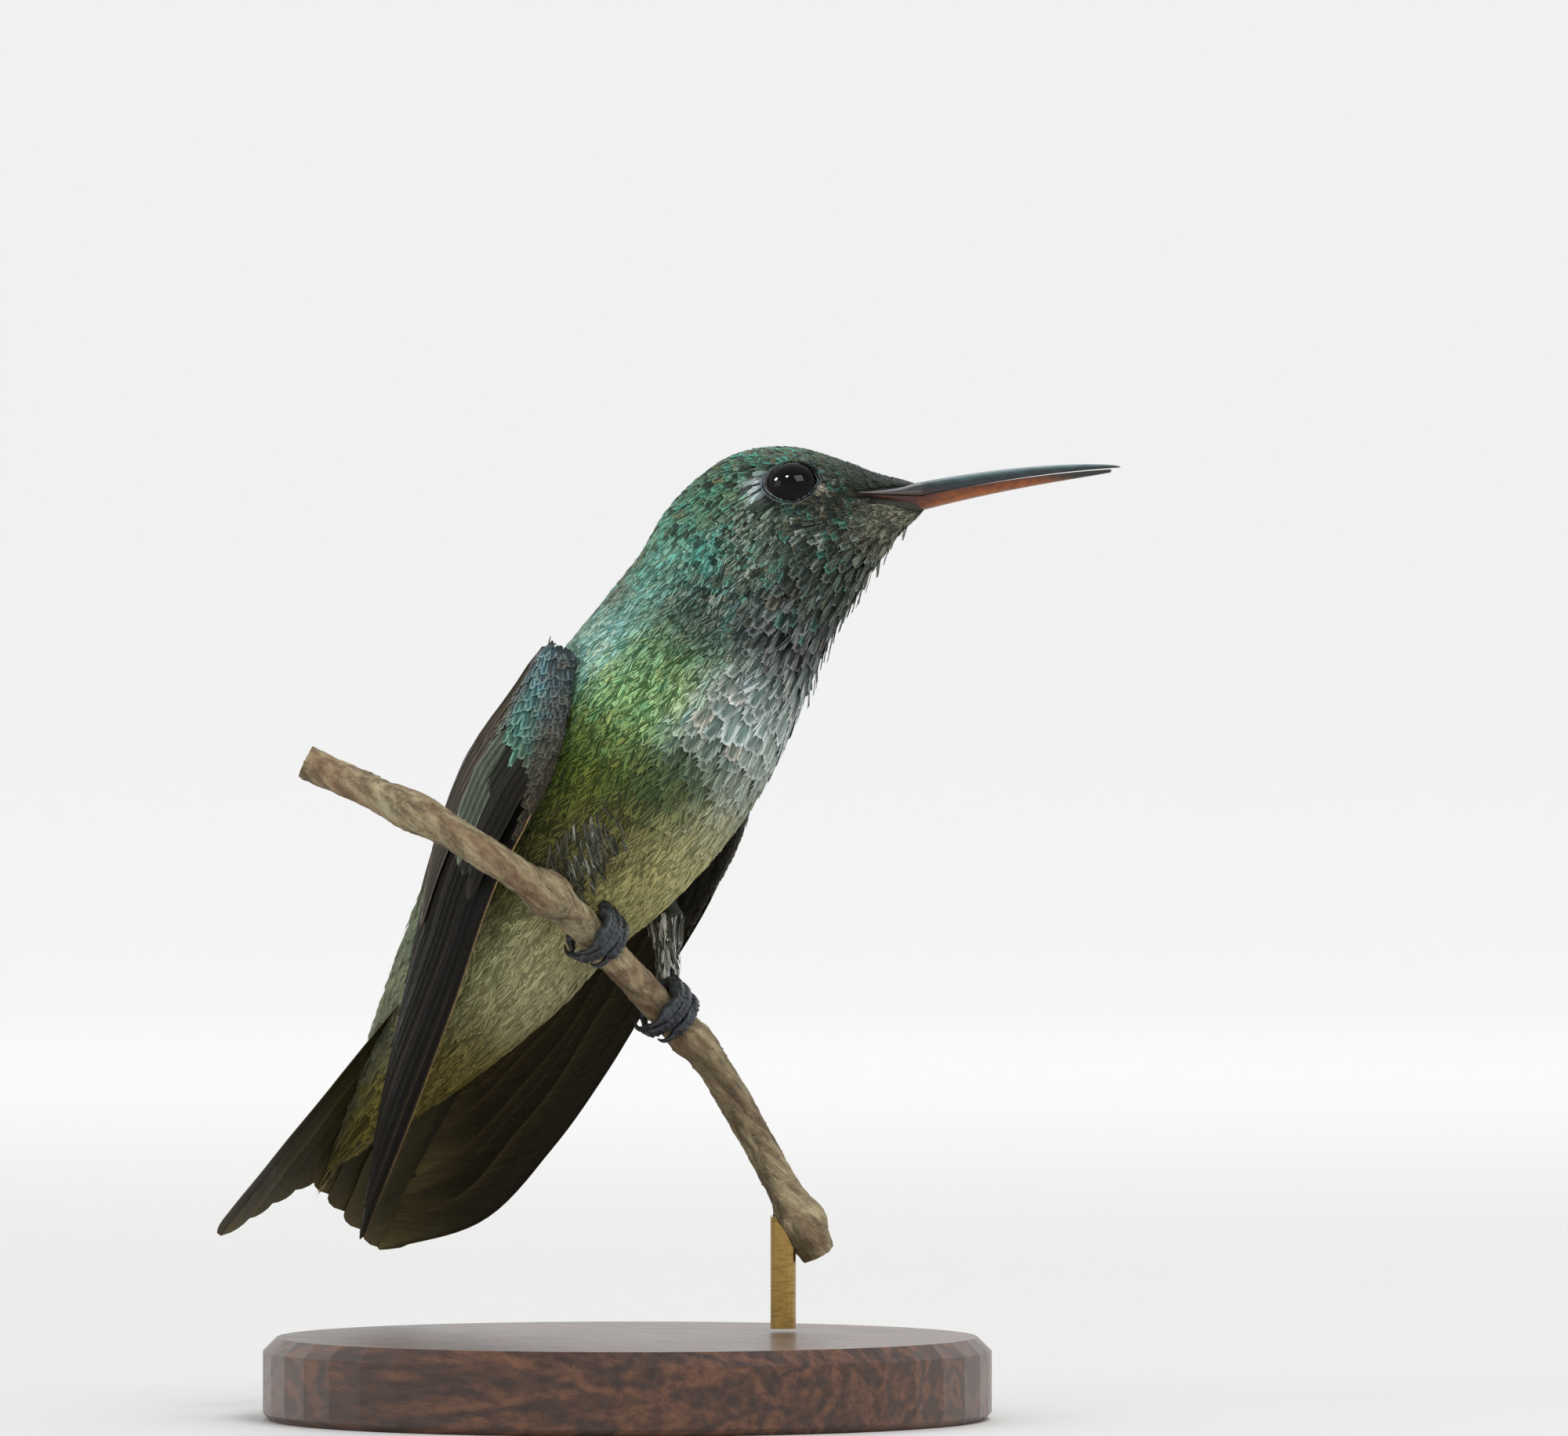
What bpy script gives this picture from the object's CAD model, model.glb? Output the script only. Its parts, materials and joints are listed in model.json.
# %% [markdown]
# # A perched hummingbird, life size, on a display stand
# The solids of the bird, its twig and its stand come ready made. This lesson dresses them: one skin over
# the body, thousands of feather vanes laid on that skin in the order they grow, folded wings and a forked
# tail built feather by feather, then the bill, the eyes, the feet, the bark and the stand. Lengths are in
# millimetres, measured from the middle of the bird's grip on the twig, and turn into metres only where a
# mesh is made.

# %% Load the fixed frame
import json
import math

import bpy
import numpy as np
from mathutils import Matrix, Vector
from mathutils.bvhtree import BVHTree

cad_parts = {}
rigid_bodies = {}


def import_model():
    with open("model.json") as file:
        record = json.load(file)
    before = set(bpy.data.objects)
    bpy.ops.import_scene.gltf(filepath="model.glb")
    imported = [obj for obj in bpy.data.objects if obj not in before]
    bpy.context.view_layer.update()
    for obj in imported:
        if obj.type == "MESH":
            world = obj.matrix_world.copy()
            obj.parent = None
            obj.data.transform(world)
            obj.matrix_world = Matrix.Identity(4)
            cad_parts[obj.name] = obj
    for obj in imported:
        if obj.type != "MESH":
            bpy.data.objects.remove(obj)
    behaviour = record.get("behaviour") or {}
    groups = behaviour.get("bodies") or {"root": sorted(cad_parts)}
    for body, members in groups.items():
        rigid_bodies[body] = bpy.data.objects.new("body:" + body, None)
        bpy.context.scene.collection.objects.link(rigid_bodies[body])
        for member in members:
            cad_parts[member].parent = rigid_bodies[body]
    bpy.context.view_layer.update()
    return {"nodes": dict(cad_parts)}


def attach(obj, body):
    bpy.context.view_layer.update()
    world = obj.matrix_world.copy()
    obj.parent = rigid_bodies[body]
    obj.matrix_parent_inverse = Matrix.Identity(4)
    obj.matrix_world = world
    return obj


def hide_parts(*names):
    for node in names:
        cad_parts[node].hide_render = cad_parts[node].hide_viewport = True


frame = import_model()
MM = 0.001
GRIP_HEIGHT = 38.0  # of the grip above the table
rng = np.random.default_rng(7)
print("solids in the frame:", ", ".join(sorted(frame["nodes"])))

# %% [markdown]
# ## Stage, light and camera
# A model this small is best seen through a long lens from a metre away, so its far side isn't dwarfed by
# its near side. The floor runs into a wide bowl, which gives a pale backdrop from every side without a
# horizon. Big soft lamps act as the softboxes of a museum studio: one high in front, a weaker one opposite,
# and one behind that draws a thin bright rim along the back.

# %% Camera
def put_in_scene(name, data):
    """An object with this data, in the scene."""
    made = bpy.data.objects.new(name, data)
    bpy.context.scene.collection.objects.link(made)
    return made


CAMERA_AZIMUTH = math.radians(38.0)
CAMERA_DISTANCE, FRAME_WIDTH, SENSOR = 1.2, 0.13333, 36.0
CAMERA_ASIDE, CAMERA_HEIGHT = 0.013333, 0.0596  # of the point it looks at

right = Vector((math.cos(CAMERA_AZIMUTH), math.sin(CAMERA_AZIMUTH), 0.0))
towards_camera = Vector((math.sin(CAMERA_AZIMUTH), -math.cos(CAMERA_AZIMUTH), 0.0))
camera = put_in_scene("camera", bpy.data.cameras.new("camera"))
camera.data.sensor_width = SENSOR
camera.data.lens = SENSOR * CAMERA_DISTANCE / FRAME_WIDTH
camera.data.clip_start, camera.data.clip_end = 0.05, 20.0
target = right * CAMERA_ASIDE + Vector((0.0, 0.0, CAMERA_HEIGHT))
camera.location = target + towards_camera * CAMERA_DISTANCE
camera.rotation_euler = (-towards_camera).to_track_quat("-Z", "Y").to_euler()
bpy.context.scene.camera = camera
bpy.context.scene.view_settings.view_transform = "Standard"
print("lens of", round(camera.data.lens), "mm")

# %% Softboxes
def softbox(name, azimuth, elevation, distance, size, watts, colour):
    """A square lamp that looks at the bird from this direction, measured as the camera's is."""
    a, e = math.radians(azimuth), math.radians(elevation)
    back = Vector((math.sin(a) * math.cos(e), -math.cos(a) * math.cos(e), math.sin(e)))
    lamp = put_in_scene(name, bpy.data.lights.new(name, "AREA"))
    lamp.data.size, lamp.data.energy, lamp.data.color = size, watts, colour
    lamp.location = target + back * distance
    lamp.rotation_euler = (-back).to_track_quat("-Z", "Y").to_euler()
    return lamp


softbox("key", 70.0, 52.0, 1.4, 0.6, 7.0, (1.0, 0.985, 0.95))
softbox("fill", -20.0, 30.0, 1.4, 0.5, 1.6, (0.96, 0.98, 1.0))
sparks = [
    softbox("spark_high", 6.0, 60.0, 1.3, 0.15, 8.0, (0.95, 0.98, 1.0)),
    softbox("spark_aside", -40.0, 42.0, 1.3, 0.2, 12.0, (0.95, 0.98, 1.0)),
]
rim_lamp = softbox("rim", 215.0, 50.0, 1.3, 0.6, 4.0, (1.0, 1.0, 1.0))
world = bpy.data.worlds.new("studio")
world.use_nodes = True
sky = world.node_tree.nodes["Background"].inputs
sky["Color"].default_value, sky["Strength"].default_value = (0.93, 0.96, 1.0, 1.0), 0.62
bpy.context.scene.world = world

# %% [markdown]
# ## Meshes from arrays
# Everything here that isn't taken from the frame is worked out as arrays of points, because thousands of
# feathers would take minutes one Blender operator at a time. A loft joins rings of points to a closed
# solid, and most pieces are lofts: the skin, each long feather, the toes, the bill.

# %% Arrays to Blender
def placed(points):
    """Points in millimetres from the grip, as metres above the table."""
    return (np.asarray(points, float) + (0.0, 0.0, GRIP_HEIGHT)) * MM


def unit(vectors):
    return vectors / np.maximum(np.linalg.norm(vectors, axis=-1, keepdims=True), 1e-9)


def linear(colour):
    """A colour given as a web code, as the linear numbers that shaders take."""
    srgb = np.array([int(colour[i : i + 2], 16) / 255 for i in (1, 3, 5)])
    return np.where(srgb <= 0.04045, srgb / 12.92, ((srgb + 0.055) / 1.055) ** 2.4)


def turns(count):
    """So many angles, evenly round a circle."""
    return np.linspace(0.0, 2 * math.pi, count, endpoint=False)


def grid(rows, columns):
    """Two arrays that pair every number of the rows with every one of the columns."""
    return np.meshgrid(rows, columns, indexing="ij")


def mixed(first, second, share):
    """Colours between the first and the second, by a share for each point."""
    share = np.asarray(share, float)[..., None]
    return first * (1 - share) + second * share


def make_mesh(name, points, triangles, maps=(), marks=(), sharp=60.0):
    """A mesh of triangles. maps are UV maps, by point or by corner. marks are colours or numbers by point."""
    mesh = bpy.data.meshes.new(name)
    mesh.vertices.add(len(points))
    mesh.vertices.foreach_set("co", placed(points).astype(np.float32).ravel())
    corners = np.ascontiguousarray(triangles, np.int32).ravel()
    mesh.loops.add(len(corners))
    mesh.loops.foreach_set("vertex_index", corners)
    mesh.polygons.add(len(triangles))
    mesh.polygons.foreach_set("loop_start", np.arange(0, len(corners), 3, dtype=np.int32))
    mesh.update(calc_edges=True)
    for label, values in maps:
        layer = mesh.uv_layers.new(name=label)
        values = np.asarray(values, np.float32)
        layer.uv.foreach_set("vector", (values if len(values) == len(corners) else values[corners]).ravel())
    for label, values in marks:
        values = np.asarray(values, np.float32)
        if values.ndim == 1:
            mesh.attributes.new(label, "FLOAT", "POINT").data.foreach_set("value", values)
        else:
            opaque = np.concatenate([values, np.ones((len(values), 1), np.float32)], 1)
            mesh.attributes.new(label, "FLOAT_COLOR", "POINT").data.foreach_set("color", opaque.ravel())
    mesh.shade_smooth()
    mesh.set_sharp_from_angle(angle=math.radians(sharp))
    return mesh


def add_piece(name, mesh, finish, stands_for=()):
    """Puts a finished mesh in the scene as a piece of the model."""
    piece = put_in_scene(name, mesh)
    mesh.materials.clear()
    mesh.materials.append(finish)
    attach(piece, "root")
    if stands_for:
        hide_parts(*stands_for)
    print(f"{name}: {len(mesh.polygons)} faces")
    return piece


def loft_faces(rows, sides):
    """Triangles of a closed loft through rings that are stored one after another."""
    r, i = grid(np.arange(rows - 1), np.arange(sides))
    a, b = r * sides + i, r * sides + (i + 1) % sides
    c, d = a + sides, b + sides
    walls = np.concatenate([np.stack([a, c, d], -1).reshape(-1, 3), np.stack([a, d, b], -1).reshape(-1, 3)])
    fan = np.arange(1, sides - 1)
    start = np.stack([np.zeros_like(fan), fan, fan + 1], -1)
    end = start[:, ::-1] + (rows - 1) * sides
    return np.concatenate([walls, start, end])


def outwards(points, triangles):
    """The triangles, turned round if they bound the solid inside out."""
    a, b, c = (points[triangles[:, k]] for k in range(3))
    centre = points.mean(0)
    volume = np.einsum("ij,ij->", a - centre, np.cross(b - centre, c - centre))
    return triangles if volume > 0 else triangles[:, ::-1]


def joined(solids):
    """Several (points, triangles, values by name) as one."""
    points, triangles, values, count = [], [], {}, 0
    for solid_points, solid_triangles, solid_values in solids:
        points.append(solid_points)
        triangles.append(solid_triangles + count)
        count += len(solid_points)
        for label, value in solid_values.items():
            values.setdefault(label, []).append(value)
    values = {label: np.concatenate(parts) for label, parts in values.items()}
    return np.concatenate(points), np.concatenate(triangles), values


# %% [markdown]
# ## Finishes that share their parts
# Feathers are barbs, fine rods side by side that slant from the shaft towards the tip. One node group draws
# them from a map that holds each point's distance across and along its own feather, in millimetres. Its
# outputs are a ridge for the bump and colour of every barb, and a number that differs from barb to barb. A
# second group mottles a surface at two scales, for bark, wood, horn and skin.

# %% Small helpers for node trees
def new_material(name):
    """A material, its node tree and its shader."""
    made = bpy.data.materials.new(name)
    made.use_nodes = True
    return made, made.node_tree, made.node_tree.nodes["Principled BSDF"]


def sockets(tree, inputs, outputs):
    """Gives a group named inputs, by kind and default, and outputs by kind. Returns where both are linked."""
    for label, (kind, value) in inputs.items():
        socket = tree.interface.new_socket(label, in_out="INPUT", socket_type="NodeSocket" + kind)
        if value is not None:
            socket.default_value = value
    for label, kind in outputs.items():
        tree.interface.new_socket(label, in_out="OUTPUT", socket_type="NodeSocket" + kind)
    return tree.nodes.new("NodeGroupInput").outputs, tree.nodes.new("NodeGroupOutput").inputs


def feed(tree, socket, value):
    """Links a socket to an output, or to a node's first output, or sets its number."""
    if isinstance(value, bpy.types.Node):
        value = value.outputs[0]
    if isinstance(value, bpy.types.NodeSocket):
        tree.links.new(value, socket)
    elif value is not None:
        socket.default_value = value


def fill(tree, node, **values):
    """Feeds a node's inputs by name, with _ for a space."""
    for label, value in values.items():
        feed(tree, node.inputs[label.replace("_", " ")], value)


def step(tree, kind, settings=(), **values):
    """A new node with some of its settings made and its inputs filled."""
    node = tree.nodes.new(kind)
    for label, value in dict(settings).items():
        setattr(node, label, value)
    fill(tree, node, **values)
    return node


def worked_out(tree, kind, operation, values):
    node = step(tree, kind, {"operation": operation})
    for socket, value in zip(node.inputs, values):
        feed(tree, socket, value)
    return node.outputs


def maths(tree, operation, *values):
    return worked_out(tree, "ShaderNodeMath", operation, values)[0]


def vectors(tree, operation, *values):
    """Vector maths, which gives a vector or, for a dot product or a length, a number."""
    results = worked_out(tree, "ShaderNodeVectorMath", operation, values)
    return results["Value" if operation in ("DOT_PRODUCT", "LENGTH") else "Vector"]


def product(tree, first, *others):
    for other in others:
        first = maths(tree, "MULTIPLY", first, other)
    return first


def straight(tree, value, slope, start):
    """The start and so many times the value."""
    return maths(tree, "MULTIPLY_ADD", value, slope, start)


def scaled(tree, vector, factor):
    """A vector or colour times a number."""
    return step(tree, "ShaderNodeVectorMath", {"operation": "SCALE"}, Vector=vector, Scale=factor).outputs[0]


def blend(tree, factor, first, second, way="MIX"):
    """Two colours mixed or multiplied."""
    settings = {"data_type": "RGBA", "blend_type": way}
    return step(tree, "ShaderNodeMix", settings, Factor=factor, A=first, B=second).outputs["Result"]


def ramp(tree, value, start, end, low=0.0, high=1.0):
    """A smooth step of the value from low to high between start and end."""
    limits = {"From_Min": start, "From_Max": end, "To_Min": low, "To_Max": high}
    smooth = {"interpolation_type": "SMOOTHSTEP"}
    return step(tree, "ShaderNodeMapRange", smooth, Value=value, **limits).outputs["Result"]


def attribute(tree, name, output="Fac"):
    return step(tree, "ShaderNodeAttribute", {"attribute_name": name}).outputs[output]


def object_place(tree):
    return step(tree, "ShaderNodeTexCoord").outputs["Object"]


def noise(tree, vector, scale, detail=4.0, roughness=0.55):
    values = {"Scale": scale, "Detail": detail, "Roughness": roughness}
    return step(tree, "ShaderNodeTexNoise", Vector=vector, **values).outputs["Fac"]


def bump(tree, height, distance, strength=1.0, under=None):
    values = {"Distance": distance, "Strength": strength, "Normal": under}
    return step(tree, "ShaderNodeBump", Height=height, **values).outputs["Normal"]


def use_group(tree, group, **values):
    return step(tree, "ShaderNodeGroup", {"node_tree": group}, **values).outputs


def rgba(colour):
    return (*linear(colour), 1.0)


# %% Barbs, as a node group
BARB_WAVER, WAVER_SCALE = 0.5, 1.6  # how far barbs stray from straight lines, and how often
OTHER_VANE, OTHER_FEATHER = 41.3, 97.0  # number a feather's two vanes and its neighbours' barbs apart

barbs = bpy.data.node_groups.new("barbs", "ShaderNodeTree")
given, result = sockets(
    barbs,
    {"Vane": ("Vector", None), "Spacing": ("Float", 0.25), "Slant": ("Float", 1.2), "Chance": ("Float", 0.0)},
    {"Ridge": "Float", "Strand": "Float"},
)
across, up_shaft, _ = step(barbs, "ShaderNodeSeparateXYZ", Vector=given["Vane"]).outputs
slanted = product(barbs, maths(barbs, "ABSOLUTE", across), given["Slant"])
waver = noise(barbs, given["Vane"], WAVER_SCALE, 2.0)
waver = straight(barbs, waver, BARB_WAVER, -BARB_WAVER / 2)
barb = maths(barbs, "ADD", maths(barbs, "SUBTRACT", up_shaft, slanted), waver)
barb = maths(barbs, "DIVIDE", barb, given["Spacing"])
feed(barbs, result["Ridge"], ramp(barbs, maths(barbs, "PINGPONG", barb, 0.5), 0.0, 0.5))
which = straight(barbs, maths(barbs, "SIGN", across), OTHER_VANE, maths(barbs, "FLOOR", barb))
pair = step(barbs, "ShaderNodeCombineXYZ", X=which, Y=product(barbs, given["Chance"], OTHER_FEATHER))
picked = step(barbs, "ShaderNodeTexWhiteNoise", {"noise_dimensions": "2D"}, Vector=pair)
feed(barbs, result["Strand"], picked.outputs["Value"])

# %% Mottling, as a node group
mottle = bpy.data.node_groups.new("mottle", "ShaderNodeTree")
given, result = sockets(
    mottle,
    {"Vector": ("Vector", None), "Scale": ("Float", 300.0)}
    | dict.fromkeys(("Dark", "Light"), ("Color", None)),
    {"Color": "Color", "Height": "Float"},
)
broad = noise(mottle, given["Vector"], given["Scale"])
fine = noise(mottle, given["Vector"], product(mottle, given["Scale"], 5.0), 3.0, 0.6)
height = straight(mottle, broad, 0.65, product(mottle, fine, 0.35))
feed(mottle, result["Height"], height)
feed(mottle, result["Color"], blend(mottle, ramp(mottle, height, 0.36, 0.64), given["Dark"], given["Light"]))


def mottling(tree, where, scale, dark, light):
    """The mottled colour, and its height."""
    group = use_group(tree, mottle, Vector=where, Scale=scale, Dark=rgba(dark), Light=rgba(light))
    return group["Color"], group["Height"]


def mottled_finish(name, scale, dark, light, relief, roughness, stretch=None, painted=False, **others):
    """A mottled material. Its roughness is one number, or two that the mottling goes between. A stretch draws
    the mottling out, and painted means that it only darkens the colours marked on the mesh."""
    made, tree, shader = new_material(name)
    where = object_place(tree)
    if stretch is not None:
        where = step(tree, "ShaderNodeMapping", Vector=where, **stretch)
    colour, height = mottling(tree, where, scale, dark, light)
    if painted:
        colour = blend(tree, 1.0, attribute(tree, "Ground", "Color"), colour, "MULTIPLY")
    if relief:
        fill(tree, shader, Normal=bump(tree, height, relief * MM))
    if isinstance(roughness, tuple):
        roughness = ramp(tree, height, 0.3, 0.7, *roughness)
    fill(tree, shader, Base_Color=colour, Roughness=roughness, **others)
    return made


# %% [markdown]
# The floor is one turned profile: flat under the stand, then a quarter circle up to the rim of a bowl.

# %% Studio floor
FLOOR_FLAT, FLOOR_BEND, FLOOR_WALL, FLOOR_START = 1500.0, 1200.0, 700.0, 200.0
WALL_GLOW, GLOW_FROM, GLOW_TO = 0.3, 0.3, 1.5  # its light makes up for the lamps' falling off with distance

bend = np.linspace(0.0, math.pi / 2, 24)
profile = [(FLOOR_START, 0.0)]
profile += [(FLOOR_FLAT + FLOOR_BEND * math.sin(a), FLOOR_BEND * (1 - math.cos(a))) for a in bend]
profile.append((FLOOR_FLAT + FLOOR_BEND, FLOOR_BEND + FLOOR_WALL))
spin = turns(96)
bowl = np.array([[(r * math.cos(a), r * math.sin(a), z - GRIP_HEIGHT) for a in spin] for r, z in profile])
open_ended = loft_faces(len(bowl), len(spin))[: 2 - len(spin)]
floor_mesh = make_mesh("floor", bowl.reshape(-1, 3), open_ended)
floor_mesh.flip_normals()
floor_finish, tree, shader = new_material("studio_floor")
glow = ramp(tree, vectors(tree, "LENGTH", object_place(tree)), GLOW_FROM, GLOW_TO, 0.0, WALL_GLOW)
fill(tree, shader, Base_Color=(0.74, 0.735, 0.72, 1.0), Roughness=0.85)
fill(tree, shader, Emission_Color=glow, Emission_Strength=1.0)
floor_mesh.materials.append(floor_finish)
floor = put_in_scene("floor", floor_mesh)
print("floor:", len(floor_mesh.polygons), "faces")

# %% [markdown]
# The same finish serves scales, down and flight feathers, with other numbers. It mixes each feather's own
# two colours by how near its tip a point lies, darkens the gaps between barbs and the feather's hidden
# root, and lets barbs and whole feathers differ a little. Gloss, the metal-like shine of green plumage,
# comes from its own mark.

# %% Plumage finish
def plumage_finish(name, barb, contrast, relief, roughness, fringe, root_shade, shine=0.5, specular=0.25):
    """A finish for vanes. barb is the spacing and slant of the barbs. fringe is where on its rim a feather
    starts and ends to take its second colour."""
    made, tree, shader = new_material(name)
    labels = ("Chance", "Tipward", "Rim", "Loose", "Gloss")
    chance, tipward, rim, loose, gloss = (attribute(tree, label) for label in labels)
    vane = step(tree, "ShaderNodeUVMap", {"uv_map": "Vane"})
    drawn = use_group(tree, barbs, Vane=vane, Spacing=barb[0], Slant=barb[1], Chance=chance)
    ridge, strand = drawn["Ridge"], drawn["Strand"]
    hairy = ramp(tree, loose, 0.3, 0.6)

    # the second colour: along the rim of a tight feather, on single barbs of a loose one
    outline = product(tree, ramp(tree, rim, *fringe), ramp(tree, ridge, 0.0, 0.8, 0.7, 1.0))
    hair = product(tree, ramp(tree, strand, 0.1, 0.95), ramp(tree, ridge, 0.1, 0.9, 0.45, 1.0))
    hair = product(tree, hair, ramp(tree, tipward, 0.15, 0.6))
    edge = ramp(tree, hairy, 0.0, 1.0, outline, hair)
    inner = ramp(tree, rim, 0.1, fringe[0] + 0.1, 1.0, straight(tree, hairy, 0.25, 0.75))
    ground = scaled(tree, attribute(tree, "Ground", "Color"), inner)
    colour = blend(tree, edge, ground, attribute(tree, "Fringe", "Color"))

    # darker between barbs and at the root, and no two barbs or feathers alike
    shade = straight(tree, ridge, contrast, 1.0 - contrast)
    apart = ramp(tree, strand, 0.0, 1.0, 1.0 - 0.7 * contrast, 1.0 + 0.8 * contrast)
    dull, bright = straight(tree, hairy, 0.1, 0.8), straight(tree, hairy, -0.1, 1.2)
    feather = ramp(tree, chance, 0.0, 1.0, dull, bright)
    hidden = straight(tree, hairy, 0.6 * (1 - root_shade), root_shade)
    total = product(tree, shade, apart, feather, ramp(tree, tipward, 0.05, 0.6, hidden, 1.0))
    fill(
        tree,
        shader,
        Base_Color=scaled(tree, colour, total),
        Metallic=product(tree, gloss, shine),
        Roughness=ramp(tree, strand, 0.0, 1.0, roughness - 0.08, roughness + 0.08),
        Normal=bump(tree, ridge, relief * MM),
        Specular_IOR_Level=specular,
    )
    return made


scaly_plumage = plumage_finish("scaly_plumage", (0.5, 3.6), 0.42, 0.045, 0.5, (0.15, 0.8), 0.5)
loose_plumage = plumage_finish("loose_plumage", (0.6, 4.4), 0.34, 0.04, 0.62, (0.2, 0.95), 0.7)
flight_finish = plumage_finish("flight_plumage", (0.24, 1.4), 0.28, 0.03, 0.5, (0.3, 0.9), 1.0, 0.3, 0.16)
print("three plumage finishes")

# %% Finish of the skin
BEAD_SCALE, BEAD_RELIEF = 4200.0, 0.06  # of the tiny beads in bare skin

skin_finish, tree, shader = new_material("skin_and_down")
where = object_place(tree)
bare_colour, _ = mottling(tree, where, 900.0, "#4a5157", "#868f97")
colour = blend(tree, attribute(tree, "Bare"), attribute(tree, "Ground", "Color"), bare_colour)
beads = step(tree, "ShaderNodeTexVoronoi", Vector=where, Scale=BEAD_SCALE)
relief = bump(tree, beads.outputs["Distance"], -BEAD_RELIEF * MM, 0.8)
fill(tree, shader, Base_Color=colour, Roughness=0.6, Normal=relief)

# %% [markdown]
# ## The body as a surface
# A bird's outline is its feathers. The body solids are lofted through sixteen sections, and the same
# sections give a surface here that any point can be asked of: how far from bill to tail, and how far round
# from the middle of the back. Feathers and skin then follow the body exactly. Asking a surface for its
# slopes gives its normal too.

# %% Smooth curves through tables
def along(table, place):
    """Rows of the table read off a smooth curve, a Catmull-Rom spline. Past its ends it runs straight on."""
    table = np.asarray(table, float)
    last = len(table) - 1
    padded = np.vstack([2 * table[0] - table[1], table, 2 * table[-1] - table[-2]])
    held = np.clip(place, 0.0, last)
    row = np.minimum(held.astype(int), last - 1)
    t = (held - row)[..., None]
    before, start, end, after = (padded[row + k] for k in range(4))
    curve = 0.5 * (
        2 * start
        + (end - before) * t
        + (2 * before - 5 * start + 4 * end - after) * t**2
        + (3 * start - before - 3 * end + after) * t**3
    )
    over = (place - held)[..., None]
    return curve + over * np.where(over > 0, table[-1] - table[-2], table[1] - table[0])


# %% The body's sections, as the solids have them
SECTIONS = [
    # back x, z, belly x, z, half width, widest at
    (27.0, 41.6, 27.8, 39.3, 1.3, 0.50),  # root of the bill
    (23.6, 42.3, 25.4, 37.2, 2.7, 0.48),  # lores
    (20.0, 43.6, 23.7, 35.0, 4.3, 0.46),  # forehead
    (15.6, 44.7, 22.3, 33.0, 5.8, 0.44),  # crown, over the eyes
    (10.4, 43.8, 21.0, 31.0, 6.6, 0.46),  # back of the crown
    (5.6, 39.9, 19.5, 28.6, 7.1, 0.48),  # nape
    (2.6, 35.3, 18.1, 25.4, 7.7, 0.50),  # neck
    (-0.8, 31.6, 16.5, 21.2, 8.6, 0.50),  # shoulders
    (-5.6, 27.0, 12.9, 15.2, 9.4, 0.50),  # breast
    (-10.4, 21.6, 7.8, 9.6, 9.7, 0.50),  # lower breast
    (-14.6, 16.4, 2.0, 4.8, 9.4, 0.50),  # belly
    (-18.4, 11.1, -3.8, 0.8, 8.5, 0.50),  # thighs
    (-21.8, 5.5, -8.8, -3.6, 7.2, 0.50),  # vent
    (-25.2, -1.1, -15.2, -8.0, 5.7, 0.50),  # rump
    (-28.2, -7.2, -21.8, -12.0, 4.1, 0.50),  # tail coverts
    (-30.6, -12.2, -27.2, -14.8, 2.4, 0.50),  # ends of the coverts
]
BODY_ENDS = len(SECTIONS) - 1.0
HEAD_TURN, TURN_STARTS, TURN_ENDS, NECK_AXIS_X = math.radians(28.0), 8.5, 4.5, 8.5


def turned(points, share=1.0):
    """Points after the head's turn to the left, of which the neck takes its share."""
    x, y, z = points[..., 0] - NECK_AXIS_X, points[..., 1], points[..., 2]
    c, s = np.cos(HEAD_TURN * share), np.sin(HEAD_TURN * share)
    return np.stack([NECK_AXIS_X + x * c - y * s, x * s + y * c, z], -1)


def body_point(place, angle):
    """The coat's outside, at a place counted in sections and an angle from the back round to the left."""
    back_x, back_z, belly_x, belly_z, half_width, widest = np.moveaxis(along(SECTIONS, place), -1, 0)
    drop_x, drop_z = belly_x - back_x, belly_z - back_z
    share = np.where(np.cos(angle) > 0, widest, 1 - widest) * np.cos(angle)
    x = back_x + drop_x * (widest - share)
    z = back_z + drop_z * (widest - share)
    bent = np.clip((TURN_STARTS - place) / (TURN_STARTS - TURN_ENDS), 0.0, 1.0)
    return turned(np.stack([x, half_width * np.sin(angle), z], -1), bent * bent * (3 - 2 * bent))


def slopes(surface, p, q, nudge=1e-3):
    """The surface's point, its two slopes and its outward normal."""
    here = surface(p, q)
    along_p = (surface(p + nudge, q) - surface(p - nudge, q)) / (2 * nudge)
    along_q = (surface(p, q + nudge) - surface(p, q - nudge)) / (2 * nudge)
    return here, along_p, along_q, unit(np.cross(along_q, along_p))


probe = slopes(body_point, np.array([8.0]), np.array([math.pi / 2]))
print("on the bird's left side, which is +Y, the normal points", probe[3][0].round(2))

# %% [markdown]
# ## Markings
# Skin and coat read the same markings, so bare spots between feathers never show a wrong colour. The
# plumage is divided into tracts, as a bird book divides it. Each has a middle, a reach, two colours (the
# body of its feathers and their fringe), and the size and looseness of its feathers. Neighbouring tracts
# blend smoothly, so three dozen names colour the whole bird, and both sides are alike because the
# angle is taken without its sign.

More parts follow.
